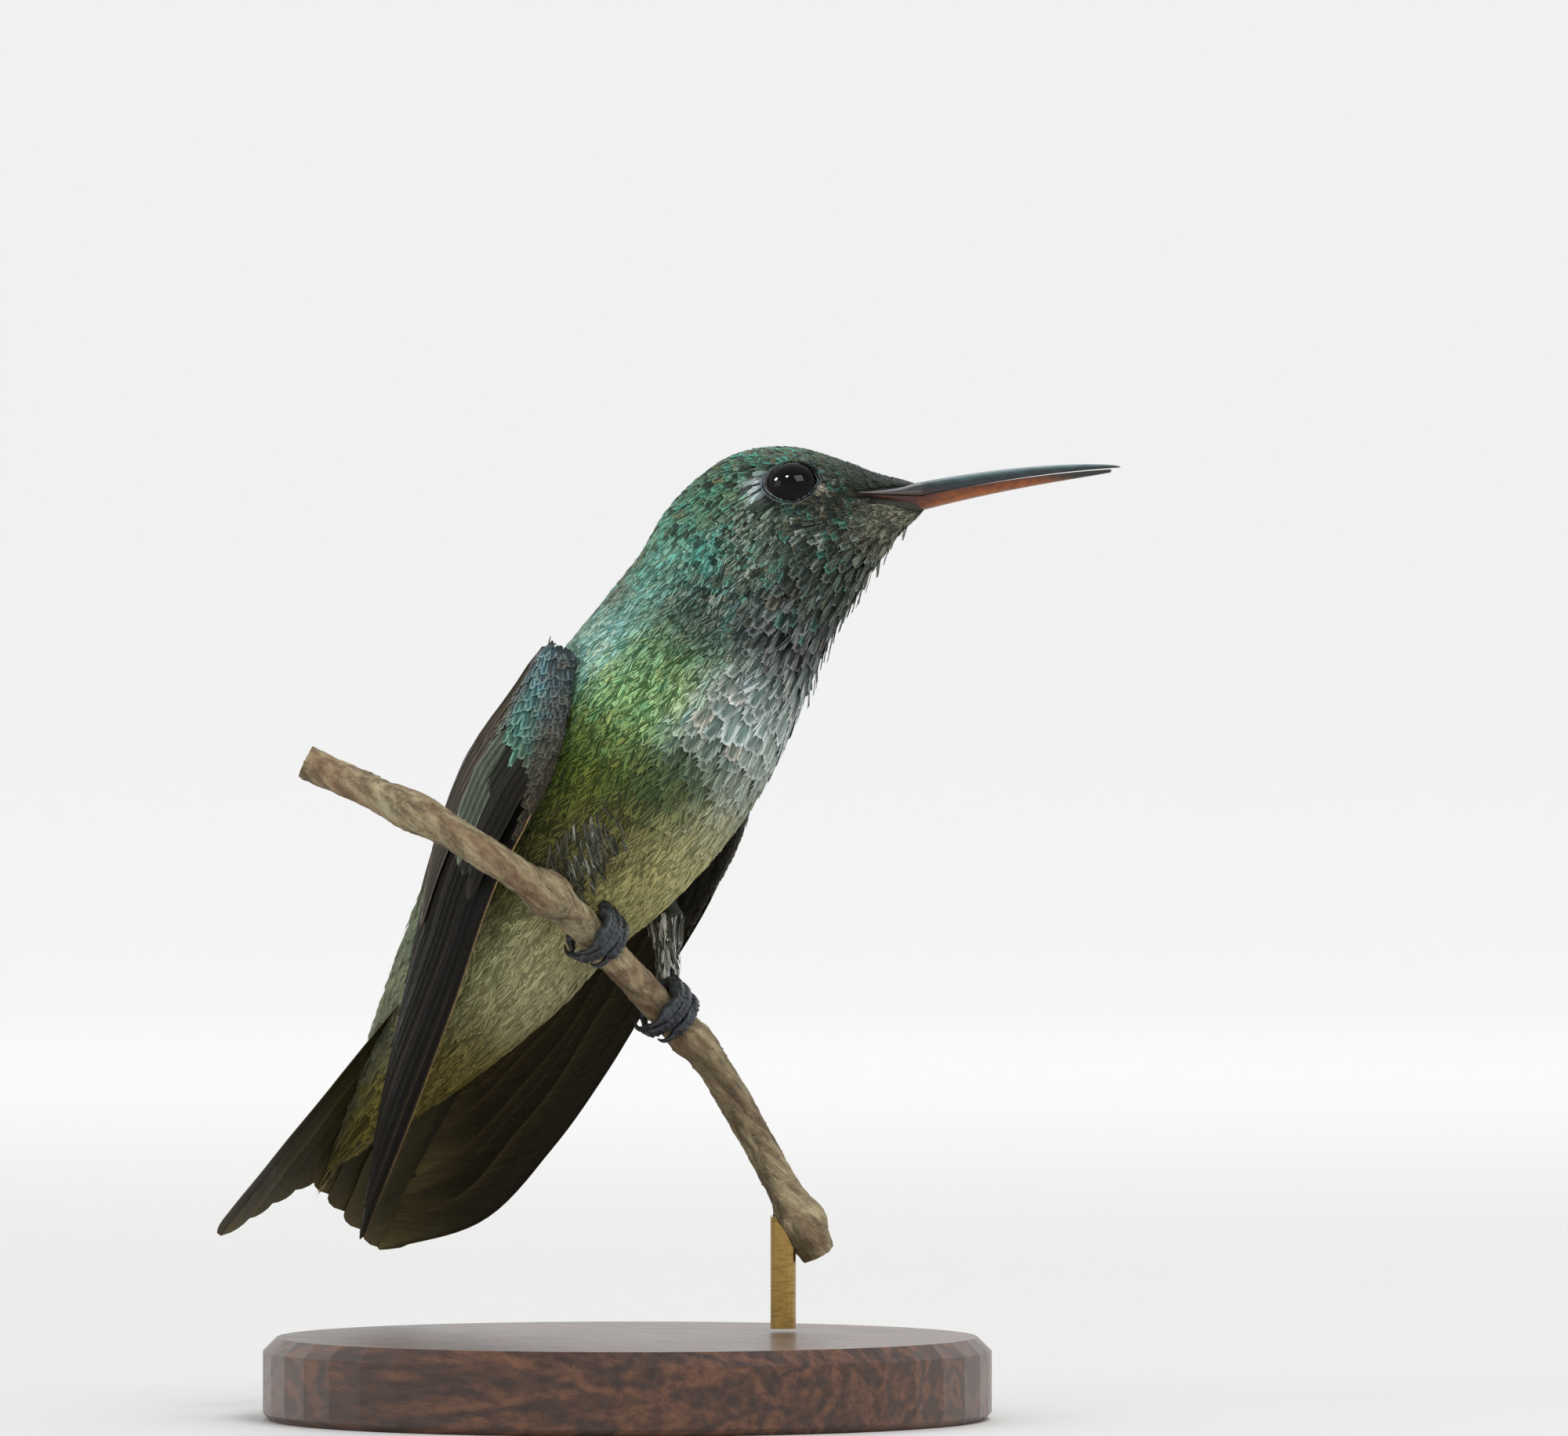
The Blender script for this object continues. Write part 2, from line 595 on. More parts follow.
# %% The plumage tracts
TRACTS = [
    # place, angle, reach, reach round, ground, fringe, length, width, looseness, gloss, strength
    ("forehead", 1.3, 15, 1.0, 40, "#171f17", "#303e31", 1.0, 0.55, 0.4, 0.3, 1.0),
    ("crown", 2.9, 10, 0.9, 32, "#1c2e1c", "#6f9a79", 1.5, 0.7, 0.4, 0.4, 1.0),
    ("hind crown", 4.1, 12, 0.8, 35, "#2e4a30", "#80b08f", 1.8, 0.8, 0.4, 0.4, 1.0),
    ("nape", 5.2, 10, 0.8, 30, "#537f5c", "#95d2aa", 2.2, 0.85, 0.4, 0.4, 1.0),
    ("hind neck", 6.5, 8, 0.9, 30, "#5a8466", "#96b8a2", 2.8, 1.0, 0.4, 0.4, 1.0),
    ("lores", 1.8, 72, 0.5, 22, "#11150b", "#2b301d", 0.8, 0.4, 0.4, 0.1, 1.0),
    ("lore spot", 2.34, 74, 0.12, 5, "#bab099", "#f1e5cd", 0.8, 0.4, 0.6, 0.0, 1.5),
    ("brow", 2.8, 38, 0.6, 12, "#112515", "#2b4f32", 1.0, 0.5, 0.4, 0.3, 1.2),
    ("eye spot", 3.42, 64, 0.15, 7, "#d8dfe9", "#ffffff", 1.0, 0.45, 0.7, 0.0, 2.5),
    ("ear coverts", 4.2, 86, 0.7, 16, "#475d4d", "#9eb6a2", 1.8, 0.5, 0.6, 0.3, 1.0),
    ("ear gleam", 4.8, 76, 0.3, 8, "#2ba080", "#88fff7", 1.4, 0.7, 0.4, 0.5, 0.5),
    ("cheek", 3.0, 106, 0.9, 18, "#19221d", "#48554c", 1.3, 0.6, 0.4, 0.2, 1.0),
    ("chin", 1.2, 140, 0.7, 35, "#3d3d32", "#95957f", 0.9, 0.5, 0.5, 0.0, 1.0),
    ("throat", 3.3, 150, 1.1, 32, "#29312a", "#6c7b6d", 1.6, 1.2, 0.33, 0.2, 1.0),
    ("lower throat", 5.1, 148, 0.8, 28, "#292c2c", "#8a8e8f", 2.0, 1.6, 0.28, 0.2, 1.0),
    ("neck side", 5.5, 42, 0.6, 16, "#5f9d8c", "#b4ecdc", 2.6, 0.62, 0.65, 0.4, 1.0),
    ("neck seam", 6.05, 36, 0.22, 12, "#6e4631", "#a36f52", 2.2, 0.8, 0.7, 0.0, 0.9),
    ("shoulder", 6.7, 52, 0.6, 18, "#6db09a", "#dafff8", 3.0, 0.7, 0.65, 0.4, 1.0),
    ("neck front side", 5.6, 98, 0.7, 18, "#28392f", "#728882", 2.4, 0.62, 0.6, 0.3, 1.0),
    ("breast side", 6.8, 98, 0.7, 20, "#578647", "#d0ffb4", 3.2, 0.7, 0.7, 0.4, 1.0),
    ("breast discs", 6.6, 138, 0.6, 16, "#839b95", "#f6fdfb", 2.5, 2.0, 0.36, 0.2, 1.1),
    ("breast middle", 6.9, 170, 0.9, 16, "#8aa097", "#ecf5f2", 3.0, 2.1, 0.4, 0.1, 1.0),
    ("lower discs", 7.7, 142, 0.5, 20, "#18350f", "#4b7038", 2.7, 2.1, 0.36, 0.3, 1.0),
    ("side", 7.9, 96, 0.6, 22, "#334003", "#707f10", 3.4, 0.75, 0.75, 0.4, 1.1),
    ("belly", 9.0, 166, 1.0, 22, "#ada66a", "#e0da94", 4.2, 0.95, 0.9, 0.0, 1.0),
    ("belly side", 8.8, 124, 0.7, 18, "#4c4a27", "#837a48", 3.6, 1.2, 0.7, 0.1, 1.0),
    ("flank", 9.7, 100, 1.0, 18, "#373613", "#757333", 4.2, 1.0, 0.9, 0.0, 1.1),
    ("lower belly", 11.0, 156, 0.9, 28, "#b8b584", "#e6e3b2", 4.6, 1.0, 0.9, 0.0, 1.0),
    ("lower flank", 11.2, 108, 0.9, 18, "#aab07c", "#f0f4b4", 4.4, 1.0, 0.9, 0.0, 1.0),
    ("vent", 12.5, 150, 0.9, 35, "#6d642d", "#b8aa5a", 4.6, 1.2, 0.8, 0.0, 1.0),
    ("undertail", 14.2, 150, 0.9, 45, "#554d1b", "#aca04e", 6.0, 2.2, 0.4, 0.1, 1.0),
    ("rump side", 12.4, 62, 1.2, 20, "#6f7258", "#a3a286", 4.0, 1.1, 0.8, 0.1, 1.0),
    ("mantle", 8.2, 18, 0.9, 45, "#527e4e", "#9bc88f", 3.4, 1.8, 0.4, 0.4, 1.0),
    ("back", 10.4, 25, 1.2, 45, "#54704a", "#8a9872", 3.8, 1.9, 0.4, 0.4, 1.0),
    ("rump", 12.6, 18, 0.9, 35, "#64704c", "#9c9a78", 4.2, 1.9, 0.5, 0.3, 1.0),
    ("tail coverts", 14.4, 25, 0.9, 50, "#686d40", "#ad9c6a", 6.0, 2.2, 0.4, 0.3, 1.0),
]
COLUMNS = {"ground": slice(4, 7), "fringe": slice(7, 10), "length": 10, "width": 11}
COLUMNS |= {"looseness": 12, "gloss": 13}


def as_numbers(tracts):
    """A table of tracts without their names, with its colours as linear numbers."""
    return np.array([[*row[1:5], *linear(row[5]), *linear(row[6]), *row[7:]] for row in tracts])


def blended_tracts(table, place, across, parting):
    """What grows here, by name: colours, and the length, width, looseness and gloss of the feathers."""
    apart = ((place[..., None] - table[:, 0]) / table[:, 2]) ** 2
    apart = apart + ((across[..., None] - table[:, 1]) / table[:, 3]) ** 2
    weight = np.exp(-parting * (apart - apart.min(-1, keepdims=True))) * table[:, -1]
    weight /= weight.sum(-1, keepdims=True)
    blended = weight @ table
    return {label: blended[..., column] for label, column in COLUMNS.items()}


body_table = as_numbers(TRACTS)


def plumage(place, angle):
    """What grows on the body, the same on both sides."""
    return blended_tracts(body_table, place, np.degrees(np.arccos(np.cos(angle))), 0.9)


def coat_depth(length):
    """How deep the skin lies under the feathers' outside, for feathers of this length."""
    return 0.14 + 0.16 * length


print(len(TRACTS), "tracts")

# %% [markdown]
# ## Twig, thighs and wing arms as surfaces
# The twig's line and its swellings say where the toes lie, so they come before the skin. Each thigh is a
# tapering tube from the hip to the ankle. A folded wing hides a thin arm along its front edge, and the skin
# has one too.

# %% The twig's line
TWIG_PATH = [
    (-13.6, -26.4, 17.9),
    (-9.0, -23.2, 15.4),
    (-4.6, -19.6, 12.6),
    (-1.2, -15.4, 9.3),
    (0.0, -10.6, 6.6),
    (0.0, -4.8, 3.3),
    (0.0, 4.8, -3.3),
    (1.9, 8.5, -7.3),
    (3.3, 12.0, -12.7),
    (5.1, 15.0, -18.7),
    (6.8, 17.8, -24.4),
]
TWIG_RADIUS, TWIG_KNOT_LENGTH = 1.45, 0.03
TWIG_KNOTS = [(0.16, 0.35), (0.40, 0.55), (0.66, 0.35), (0.95, 0.75)]  # share of the path, swelling


def bell(value, middle, reach):
    """1 in the middle, falling away smoothly to both sides."""
    return np.exp(-(((value - middle) / reach) ** 2))


def twig_point(share):
    return along(TWIG_PATH, np.asarray(share, float) * (len(TWIG_PATH) - 1))


def twig_radius(share):
    knots = (size * bell(share, at, TWIG_KNOT_LENGTH) for at, size in TWIG_KNOTS)
    return TWIG_RADIUS + sum(knots)


# %% Where each foot grips
SIGN = {"right": -1.0, "left": 1.0}  # of y on the bird's two sides
GAP, TOE_RADIUS, GRIP_SHARES = 0.3, 0.52, {"right": 0.5, "left": 0.6}
ANKLE_RISE, ANKLE_SETBACK, ANKLE_BARE = 0.2, 0.8, 1.2
HIPS = {"right": (-1.6, -5.0, 9.4), "left": (-1.4, 6.8, 6.6)}


def grip_frame(side):
    """The middle of the grip, the twig's direction there, and the ways up and forward across it."""
    share = GRIP_SHARES[side]
    here = twig_point(share)
    direction = unit(twig_point(share + 0.01) - twig_point(share - 0.01))
    up = unit(np.array((0.0, 0.0, 1.0)) - direction * direction[2])
    forward = np.cross(up, direction)
    forward = forward * math.copysign(1.0, forward[0])
    return here, direction, up, forward, twig_radius(share) + GAP + TOE_RADIUS


def ankle_of(side):
    here, _, up, forward, grip = grip_frame(side)
    return here + up * (grip + ANKLE_RISE) - forward * ANKLE_SETBACK


def across_line(start, end):
    """Two directions square to the line."""
    run = unit(np.asarray(end, float) - start)
    side = unit(np.cross(run, (0.0, 0.0, 1.0)))
    return side, np.cross(run, side)


THIGH_RADII = [1.1, 1.45, 1.9, 1.6, 1.3, 1.0, 0.85, 0.8]


def thigh_point_of(side):
    """The surface of one feathered thigh: how far from hip to ankle, from 0 to 7, and how far round."""
    hip, ankle = np.array(HIPS[side]), ankle_of(side)
    end = ankle - unit(ankle - hip) * (ANKLE_BARE + GAP)
    one, other = across_line(hip, end)
    reach = len(THIGH_RADII) - 1

    def thigh_point(place, angle):
        radius = along(np.array(THIGH_RADII)[:, None], place)
        ring = np.cos(angle)[..., None] * one + np.sin(angle)[..., None] * other
        return hip + (end - hip) * (place / reach)[..., None] + ring * radius

    return thigh_point


# %% [markdown]
# A wing is a cambered sheet between its two edges. Its place counts from 0 at the bend to 1 at the tip, and
# from 0 on the leading edge, which lies on the flank, to 1 on the trailing edge, which lies on the back.

# %% Wing surfaces
WING_EDGES = {
    # leading edge, then trailing edge, from the bend to the tip
    "right": (
        [(1.6, -8.6, 27.6), (0.9, -11.0, 17.5), (-5.3, -11.5, 7.3)]
        + [(-10.6, -10.7, -2.8), (-17.0, -8.8, -13.0), (-24.6, -6.0, -23.3)],
        [(-1.4, -7.5, 28.3), (-10.6, -6.8, 19.5), (-15.2, -7.2, 9.3)]
        + [(-17.8, -7.8, -1.0), (-21.4, -7.3, -12.0), (-24.8, -6.1, -22.9)],
    ),
    "left": (
        [(6.0, 9.8, 21.0), (4.0, 11.6, 12.9), (-1.2, 12.4, 5.2), (-6.6, 12.2, -2.0)]
        + [(-11.2, 11.4, -8.9), (-16.0, 9.8, -15.6), (-21.7, 7.3, -21.9), (-30.9, 4.7, -24.6)],
        [(3.2, 9.2, 23.0), (-6.6, 9.2, 14.6), (-12.4, 9.4, 6.4), (-17.9, 8.8, -1.8)]
        + [(-23.5, 7.2, -9.8), (-27.9, 5.9, -17.3), (-31.4, 4.6, -24.3)],
    ),
}
WING_CAMBER, FULL_CAMBER_WIDTH = 1.1, 6.0
BEND_FULLNESS, FULLEST_AT, FULLNESS_LENGTH = 1.1, 0.03, 0.06  # a swelling behind the bend


def wing_sheet_of(side):
    """The middle sheet of one folded wing, and the way outwards from it."""
    leading, trailing = (np.array(edge) for edge in WING_EDGES[side])

    def sheet(s, t):
        s, t = np.broadcast_arrays(np.asarray(s, float), np.asarray(t, float))
        front, rear = along(leading, s * (len(leading) - 1)), along(trailing, s * (len(trailing) - 1))
        fuller = BEND_FULLNESS * bell(s, FULLEST_AT, FULLNESS_LENGTH)
        rear = rear + unit(rear - front) * fuller[..., None]
        ahead, behind = (along(leading, (s + step_off) * (len(leading) - 1)) for step_off in (0.02, -0.02))
        out = unit(np.cross(ahead - behind, rear - front)) * SIGN[side]
        width = np.linalg.norm(rear - front, axis=-1)
        camber = WING_CAMBER * np.minimum(1.0, width / FULL_CAMBER_WIDTH) * 4 * t * (1 - t)
        return front + (rear - front) * t[..., None] + out * camber[..., None], out, width

    return sheet


# %% [markdown]
# ## The skin
# The skin is the body's surface drawn in by the depth of the coat, which is shallow on the face and deep on
# the belly. Thighs, wing arms and the rims of the eyelids are lofted apart and made one with it by Boolean
# unions, so there is a single closed surface and no seam. Its unwrap is plain: round the body one way and
# along it the other.

# %% Solids of the skin
def unbroken(index, count):
    """Numbers round a closed ring of so many, so that no triangle spans from the last back to the first."""
    return np.where(index < index.max(1, keepdims=True) - count / 2, index + count, index)


def wrapped(points, patch):
    """A lofted solid from its rings, with its unwrap in a patch of the map: left, bottom, width, height."""
    left, bottom, width, height = patch
    rows, sides = points.shape[:2]
    flat = points.reshape(-1, 3)
    triangles = outwards(flat, loft_faces(rows, sides))
    r, i = triangles // sides, unbroken(triangles % sides, sides)
    return flat, triangles, np.stack([left + width * i / sides, bottom + height * r / (rows - 1)], -1)


def skin_solid(name, points, triangles, corner_map, marks):
    """One solid of the skin as an object, still apart from the rest."""
    mesh = make_mesh(name, points, triangles, [("OFBake", corner_map.reshape(-1, 2))], marks)
    return put_in_scene(name, mesh)


def one_colour(count, colour, bare):
    """The marks of a solid that is the same all over."""
    return [("Ground", np.tile(linear(colour), (count, 1))), ("Bare", np.full(count, bare))]


BODY_PATCH = (0.02, 0.02, 0.60, 0.96)
ROWS, SIDES = 151, 72
DOWN_SHADE = 0.55  # of the skin and the down on it, against the feathers over them
EYE_CENTRES = {side: turned(np.array((16.65, SIGN[side] * 3.95, 40.85))) for side in SIGN}
EYE_RADIUS, SOCKET_MARGIN, SOCKET_SHADE = 2.15, 1.2, 0.03

place_grid, angle_grid = grid(np.linspace(0.05, BODY_ENDS - 0.05, ROWS), turns(SIDES))
here, _, _, normal = slopes(body_point, place_grid, angle_grid)
grows = plumage(place_grid, angle_grid)
skin_points = here - normal * coat_depth(grows["length"])[..., None]
shade = np.full(place_grid.shape, DOWN_SHADE)
for centre in EYE_CENTRES.values():
    shade[np.linalg.norm(skin_points - centre, axis=-1) < EYE_RADIUS + SOCKET_MARGIN] = SOCKET_SHADE
down = (grows["ground"] * shade[..., None]).reshape(-1, 3)
skin_marks = [("Ground", down), ("Bare", np.zeros(len(down)))]
skin = skin_solid("skin", *wrapped(skin_points, BODY_PATCH), skin_marks)
print("body skin:", len(skin.data.polygons), "faces")

# %% Thighs and wing arms
THIGH_SKIN_DEPTH, THIGH_ROWS, THIGH_SIDES = 0.35, 22, 20
ARM_START, ARM_LENGTH, ARM_THICKNESS, ARM_ROWS = 0.03, 0.26, 0.5, 16
ARM_SINK = 5.0  # how many times thicker the arm's inner side is at the bend, to reach into the body

limbs = []
for number, side in enumerate(SIGN):
    place, angle = grid(np.linspace(0.0, len(THIGH_RADII) - 1.0, THIGH_ROWS), turns(THIGH_SIDES))
    here, _, _, normal = slopes(thigh_point_of(side), place, angle)
    axis = here.mean(1, keepdims=True)
    normal = normal * np.sign(np.sum((here - axis) * normal, -1, keepdims=True))
    thigh = wrapped(here - normal * THIGH_SKIN_DEPTH, (0.66, 0.03 + 0.12 * number, 0.12, 0.1))
    limbs.append(skin_solid(f"thigh_skin_{side}", *thigh, one_colour(place.size, "#3b3a30", 0.0)))

    share, turn = grid(np.linspace(ARM_START, ARM_LENGTH, ARM_ROWS), turns(ARM_ROWS))
    middle, out, _ = wing_sheet_of(side)(share, 0.22 + 0.12 * np.cos(turn))
    along_arm = (share - ARM_START) / (ARM_LENGTH - ARM_START)
    thick = ARM_THICKNESS * np.sqrt(np.clip(1 - along_arm**2, 0.02, 1.0))
    inwards = np.where(np.sin(turn) < 0, ARM_SINK * (1 - share / ARM_LENGTH) + 1.0, 1.0)
    rings = middle + out * (np.sin(turn) * thick * inwards)[..., None]
    arm = wrapped(rings, (0.82, 0.03 + 0.12 * number, 0.12, 0.1))
    limbs.append(skin_solid(f"arm_skin_{side}", *arm, one_colour(share.size, "#4c6e58", 0.0)))
print(len(limbs), "limbs to join")

# %% [markdown]
# Around each eye lies a ring of bare grey skin set with tiny beads. Its opening is a little longer than it
# is high and runs out to a corner at the front and back. The ring follows the head's own surface, sunk a
# little into it, so the eyeball bulges out of it as far as a live one does.

# %% Where the eyes sit
def seat_on_body(point, place, angle):
    """The place and angle of the body's surface nearest to the point, found by a few straight steps."""
    for _ in range(12):
        here, along_p, along_q, _ = slopes(body_point, np.array(place), np.array(angle))
        move, *_ = np.linalg.lstsq(np.stack([along_p, along_q], -1), point - here, rcond=None)
        place, angle = place + move[0] * 0.8, angle + move[1] * 0.8
    return place, angle


def patch_point(surface, seat, forwards, sideways, lift, heading=0.0):
    """Points of a patch of the surface: so many millimetres from its seat towards the tail and across."""
    place, angle = (np.asarray(value, float) for value in seat)
    _, along_p, along_q, _ = slopes(surface, place, angle)
    length_p = np.linalg.norm(along_p, axis=-1)
    way_p = along_p / length_p[..., None]
    square = along_q - way_p * np.sum(along_q * way_p, -1, keepdims=True)
    length_q = np.linalg.norm(square, axis=-1)
    lean = np.sum(along_q * way_p, -1)
    tailwards = forwards * np.cos(heading) - sideways * np.sin(heading)
    across = forwards * np.sin(heading) + sideways * np.cos(heading)
    turn = across / length_q
    here, _, _, normal = slopes(surface, place + (tailwards - turn * lean) / length_p, angle + turn)
    return here + normal * np.asarray(lift)[..., None]


EYE_SEATS = {side: seat_on_body(EYE_CENTRES[side], 3.0, SIGN[side] * math.radians(68)) for side in SIGN}
print("eyeballs of", 2 * EYE_RADIUS, "mm")
for side, seat in EYE_SEATS.items():
    deep = np.linalg.norm(body_point(*map(np.array, seat)) - EYE_CENTRES[side])
    print(f"{side} eye at place {seat[0]:.2f}, {math.degrees(seat[1]):.0f} degrees, {deep:.2f} mm deep")


# %% Eyelids
LID_HALF_LENGTH, LID_HALF_HEIGHT, LID_CORNER = 2.07, 1.88, 0.2
LID_HALF_WIDTH, LID_HALF_THICKNESS, LID_SUNK = 0.22, 0.22, 0.36
LID_STEPS, LID_SIDES = 72, 12


def lid_line(side, turn, grown, lift):
    """Points on the lid's opening, drawn out to its two corners, at these turns round it."""
    tailwards = (LID_HALF_LENGTH + LID_CORNER * np.abs(np.cos(turn)) ** 8) * np.cos(turn) * grown
    return patch_point(body_point, EYE_SEATS[side], tailwards, LID_HALF_HEIGHT * np.sin(turn) * grown, lift)


walls = loft_faces(LID_STEPS + 1, LID_SIDES)[: -2 * (LID_SIDES - 2)] % (LID_STEPS * LID_SIDES)
for number, side in enumerate(SIGN):
    turn, around = grid(turns(LID_STEPS), turns(LID_SIDES))
    grown = 1 + LID_HALF_WIDTH * np.cos(around) / LID_HALF_HEIGHT
    lid = lid_line(side, turn, grown, LID_HALF_THICKNESS * np.sin(around) - LID_SUNK)
    flat, faces = lid.reshape(-1, 3), walls
    a, b, c = (flat[walls[0][k]] for k in range(3))
    if np.dot(np.cross(b - a, c - a), (a + b + c) / 3 - lid[0].mean(0)) < 0:
        faces = walls[:, ::-1]
    r, i = unbroken(faces // LID_SIDES, LID_STEPS), unbroken(faces % LID_SIDES, LID_SIDES)
    corner_map = np.stack([0.66 + 0.3 * r / LID_STEPS, 0.30 + 0.06 * number + 0.04 * i / LID_SIDES], -1)
    limbs.append(skin_solid(f"lid_{side}", flat, faces, corner_map, one_colour(len(flat), "#4b4e4c", 1.0)))
print("lids of", len(walls), "faces each")

# %% Make them one
def made_one(body, others):
    """The body's mesh after a union with each of the others, which are then removed."""
    for other in others:
        modifier = body.modifiers.new("union", "BOOLEAN")
        modifier.operation, modifier.solver, modifier.object = "UNION", "EXACT", other
        bpy.context.view_layer.update()
        mesh = bpy.data.meshes.new_from_object(body.evaluated_get(bpy.context.evaluated_depsgraph_get()))
        body.modifiers.clear()
        body.data = mesh
        bpy.data.objects.remove(other)
    return body.data


skin_mesh = made_one(skin, limbs)
bpy.data.objects.remove(skin)
print("skin:", len(skin_mesh.polygons), "faces")

# %% [markdown]
# ## One feather vane
# A body feather is a shaft with barbs that end loose. As a solid it is a thin lens: two faces that meet in
# the outline, thickest along the shaft. Each side of the outline is a row of points, the ends of bundles of
# barbs that sweep towards the tip. A tight feather shows only short points, and a downy one is nearly all
# points.

# %% The vane as numbers
def vane_template(lobes):
    """One vane with this many points a side: its triangles, and what each of its corners is.

    Each corner has a station from root to tip, a side, a kind (0 on the shaft, 1 in a notch, 2 at a point's
    end) and a face (1 above, -1 below, 0 on the outline)."""
    corners, index = [], {}

    def corner(station, side, kind, face):
        key = (station, side, kind, face)
        if key not in index:
            index[key] = len(corners)
            corners.append(key)
        return index[key]

    def facing(faces, way):
        return faces if way > 0 else [f[::-1] for f in faces]

    triangles = []
    for side in (-1, 1):
        for i in range(lobes):
            end = corner(i, side, 2, 0)
            for face in (-1, 1):
                quad = [corner(i, 0, 0, face), corner(i + 1, 0, 0, face)]
                quad += [corner(i + 1, side, 1, face), corner(i, side, 1, face)]
                faces = [(quad[0], quad[1], quad[2]), (quad[0], quad[2], quad[3]), (quad[3], quad[2], end)]
                triangles += facing(faces, side * face)
            for k, way in ((i, 1), (i + 1, -1)):
                triangles += facing([(corner(k, side, 1, 1), end, corner(k, side, 1, -1))], side * way)
        tip = corner(lobes, 0, 2, 0)
        for face in (-1, 1):
            triangles += facing([(corner(lobes, 0, 0, face), tip, corner(lobes, side, 1, face))], side * face)
        triangles += facing([(corner(lobes, side, 1, 1), tip, corner(lobes, side, 1, -1))], side)
        root = [corner(0, 0, 0, 1), corner(0, side, 1, 1), corner(0, side, 1, -1), corner(0, 0, 0, -1)]
        triangles += facing([(root[0], root[1], root[2]), (root[0], root[2], root[3])], side)
    return np.array(triangles), np.array(corners, float)


VANE_THICKNESS = 0.035  # either side of its middle, along the shaft
SWEEP = 0.55  # how far each point of barbs reaches towards the tip, against its own length


def vane_shape(template, lobes, looseness, ragged, tip_from):
    """Where each corner lies, one row a feather: across (-1 to 1), tipwards (0 to 1), and its thickness."""
    station, side, kind, face = (template[:, k] for k in range(4))
    loose = looseness[:, None]
    stations = lobes + 0.6
    v = 1 - (1 - np.minimum((station + np.where(kind == 2, 0.5, 0.0)) / stations, 1.0)[None, :]) ** 1.35
    notch = 0.95 - 0.42 * loose * (0.25 + 0.75 * v)
    ending = np.maximum(v - tip_from[:, None], 0) / (1.04 - tip_from[:, None])
    width = (0.35 + 0.65 * np.minimum(v / 0.5, 1.0)) * np.sqrt(np.clip(1 - ending**2, 0, 1))
    reach = np.where(kind == 0, 0.0, np.where(kind == 1, notch, 1.0)) * width
    across = side * reach
    swept = np.where(kind == 2, (1 - notch) * SWEEP + 0.12 / stations, 0.0) * (side != 0)
    tipwards = v + swept * (1 - 0.4 * loose)
    tipwards = np.where((kind == 2) & (side == 0), 1.0, tipwards)
    ends = (kind == 2)[None, :]
    jitter = ragged[:, :, 0] * (0.1 + 0.7 * loose)
    across = across * np.where(ends, 1 + 0.35 * jitter, 1 + 0.08 * jitter)
    tipwards = tipwards + np.where(ends, ragged[:, :, 1] * (0.01 + 0.08 * loose), 0.0)
    thick = face * np.where(kind == 0, 1.0, 0.45) * (1 - 0.6 * v)
    return across, np.clip(tipwards, 0.0, 1.08), thick


for count in (5, 8):
    triangles, corners = vane_template(count)
    print(f"a vane with {count} points a side: {len(triangles)} triangles")


# %% [markdown]
# ## Laying feathers
# A feather's corners are worked out flat, as so far tipwards and so far across from its root, and then laid
# on the surface's own slopes, so every vane curves with the body. Its root sits on the skin and its tip
# just under the coat's outside, which makes it cover the roots of the ones behind. Roots are scattered so
# that none is nearer to another than the local spacing, much as feathers stand in rows that shift past one
# another.

# %% Scatter roots
NEIGHBOURS = [(a, b, c) for a in (-1, 0, 1) for b in (-1, 0, 1) for c in (-1, 0, 1)]


def evenly(spacing):
    """The same spacing everywhere."""
    return lambda place, angle: np.full(np.shape(place), spacing)


def scatter_roots(surface, limits, spacing_at, tries, keep=None):
    """Places and angles at least the local spacing apart, from seeded random darts spread by area."""
    (low_p, high_p), (low_q, high_q) = limits
    place = rng.uniform(low_p, high_p, tries * 4)
    angle = rng.uniform(low_q, high_q, tries * 4)
    here, along_p, along_q, _ = slopes(surface, place, angle)
    spacing = spacing_at(place, angle)
    chance = np.linalg.norm(np.cross(along_p, along_q), axis=-1) / spacing**2
    taken = rng.random(len(place)) < chance / np.quantile(chance, 0.98)
    if keep is not None:
        taken &= keep(here)
    place, angle, here, spacing = place[taken], angle[taken], here[taken], spacing[taken]
    cell = spacing.max()
    shelves, chosen = {}, []
    for i, (point, room) in enumerate(zip(here.tolist(), spacing.tolist())):
        x, y, z = (int(value // cell) for value in point)
        near = [other for a, b, c in NEIGHBOURS for other in shelves.get((x + a, y + b, z + c), ())]
        if all(math.dist(point, other) > room for other in near):
            shelves.setdefault((x, y, z), []).append(tuple(point))
            chosen.append(i)
    return place[chosen], angle[chosen]


# %% Lay vanes on a surface
TUFT_PATCH = 0.003  # of the map, for one feather
LENGTHEN = 1.25  # of a feather, against the part of it that shows
PLAY_OF_COLOUR = np.array([-0.25, 0.0, 0.12])  # glossy feathers differ between bronze and blue
LENGTH_RANGE, WIDTH_RANGE, TURN_PLAY, CURL_PLAY, ROLL_PLAY = (0.9, 1.15), (0.88, 1.12), 0.09, 0.05, 0.05
TOP_DEPTH, TOP_PLAY, DROOP, FLUFF = 0.06, 0.10, 0.10, 0.06  # of tips, of vanes' sides and of loose points


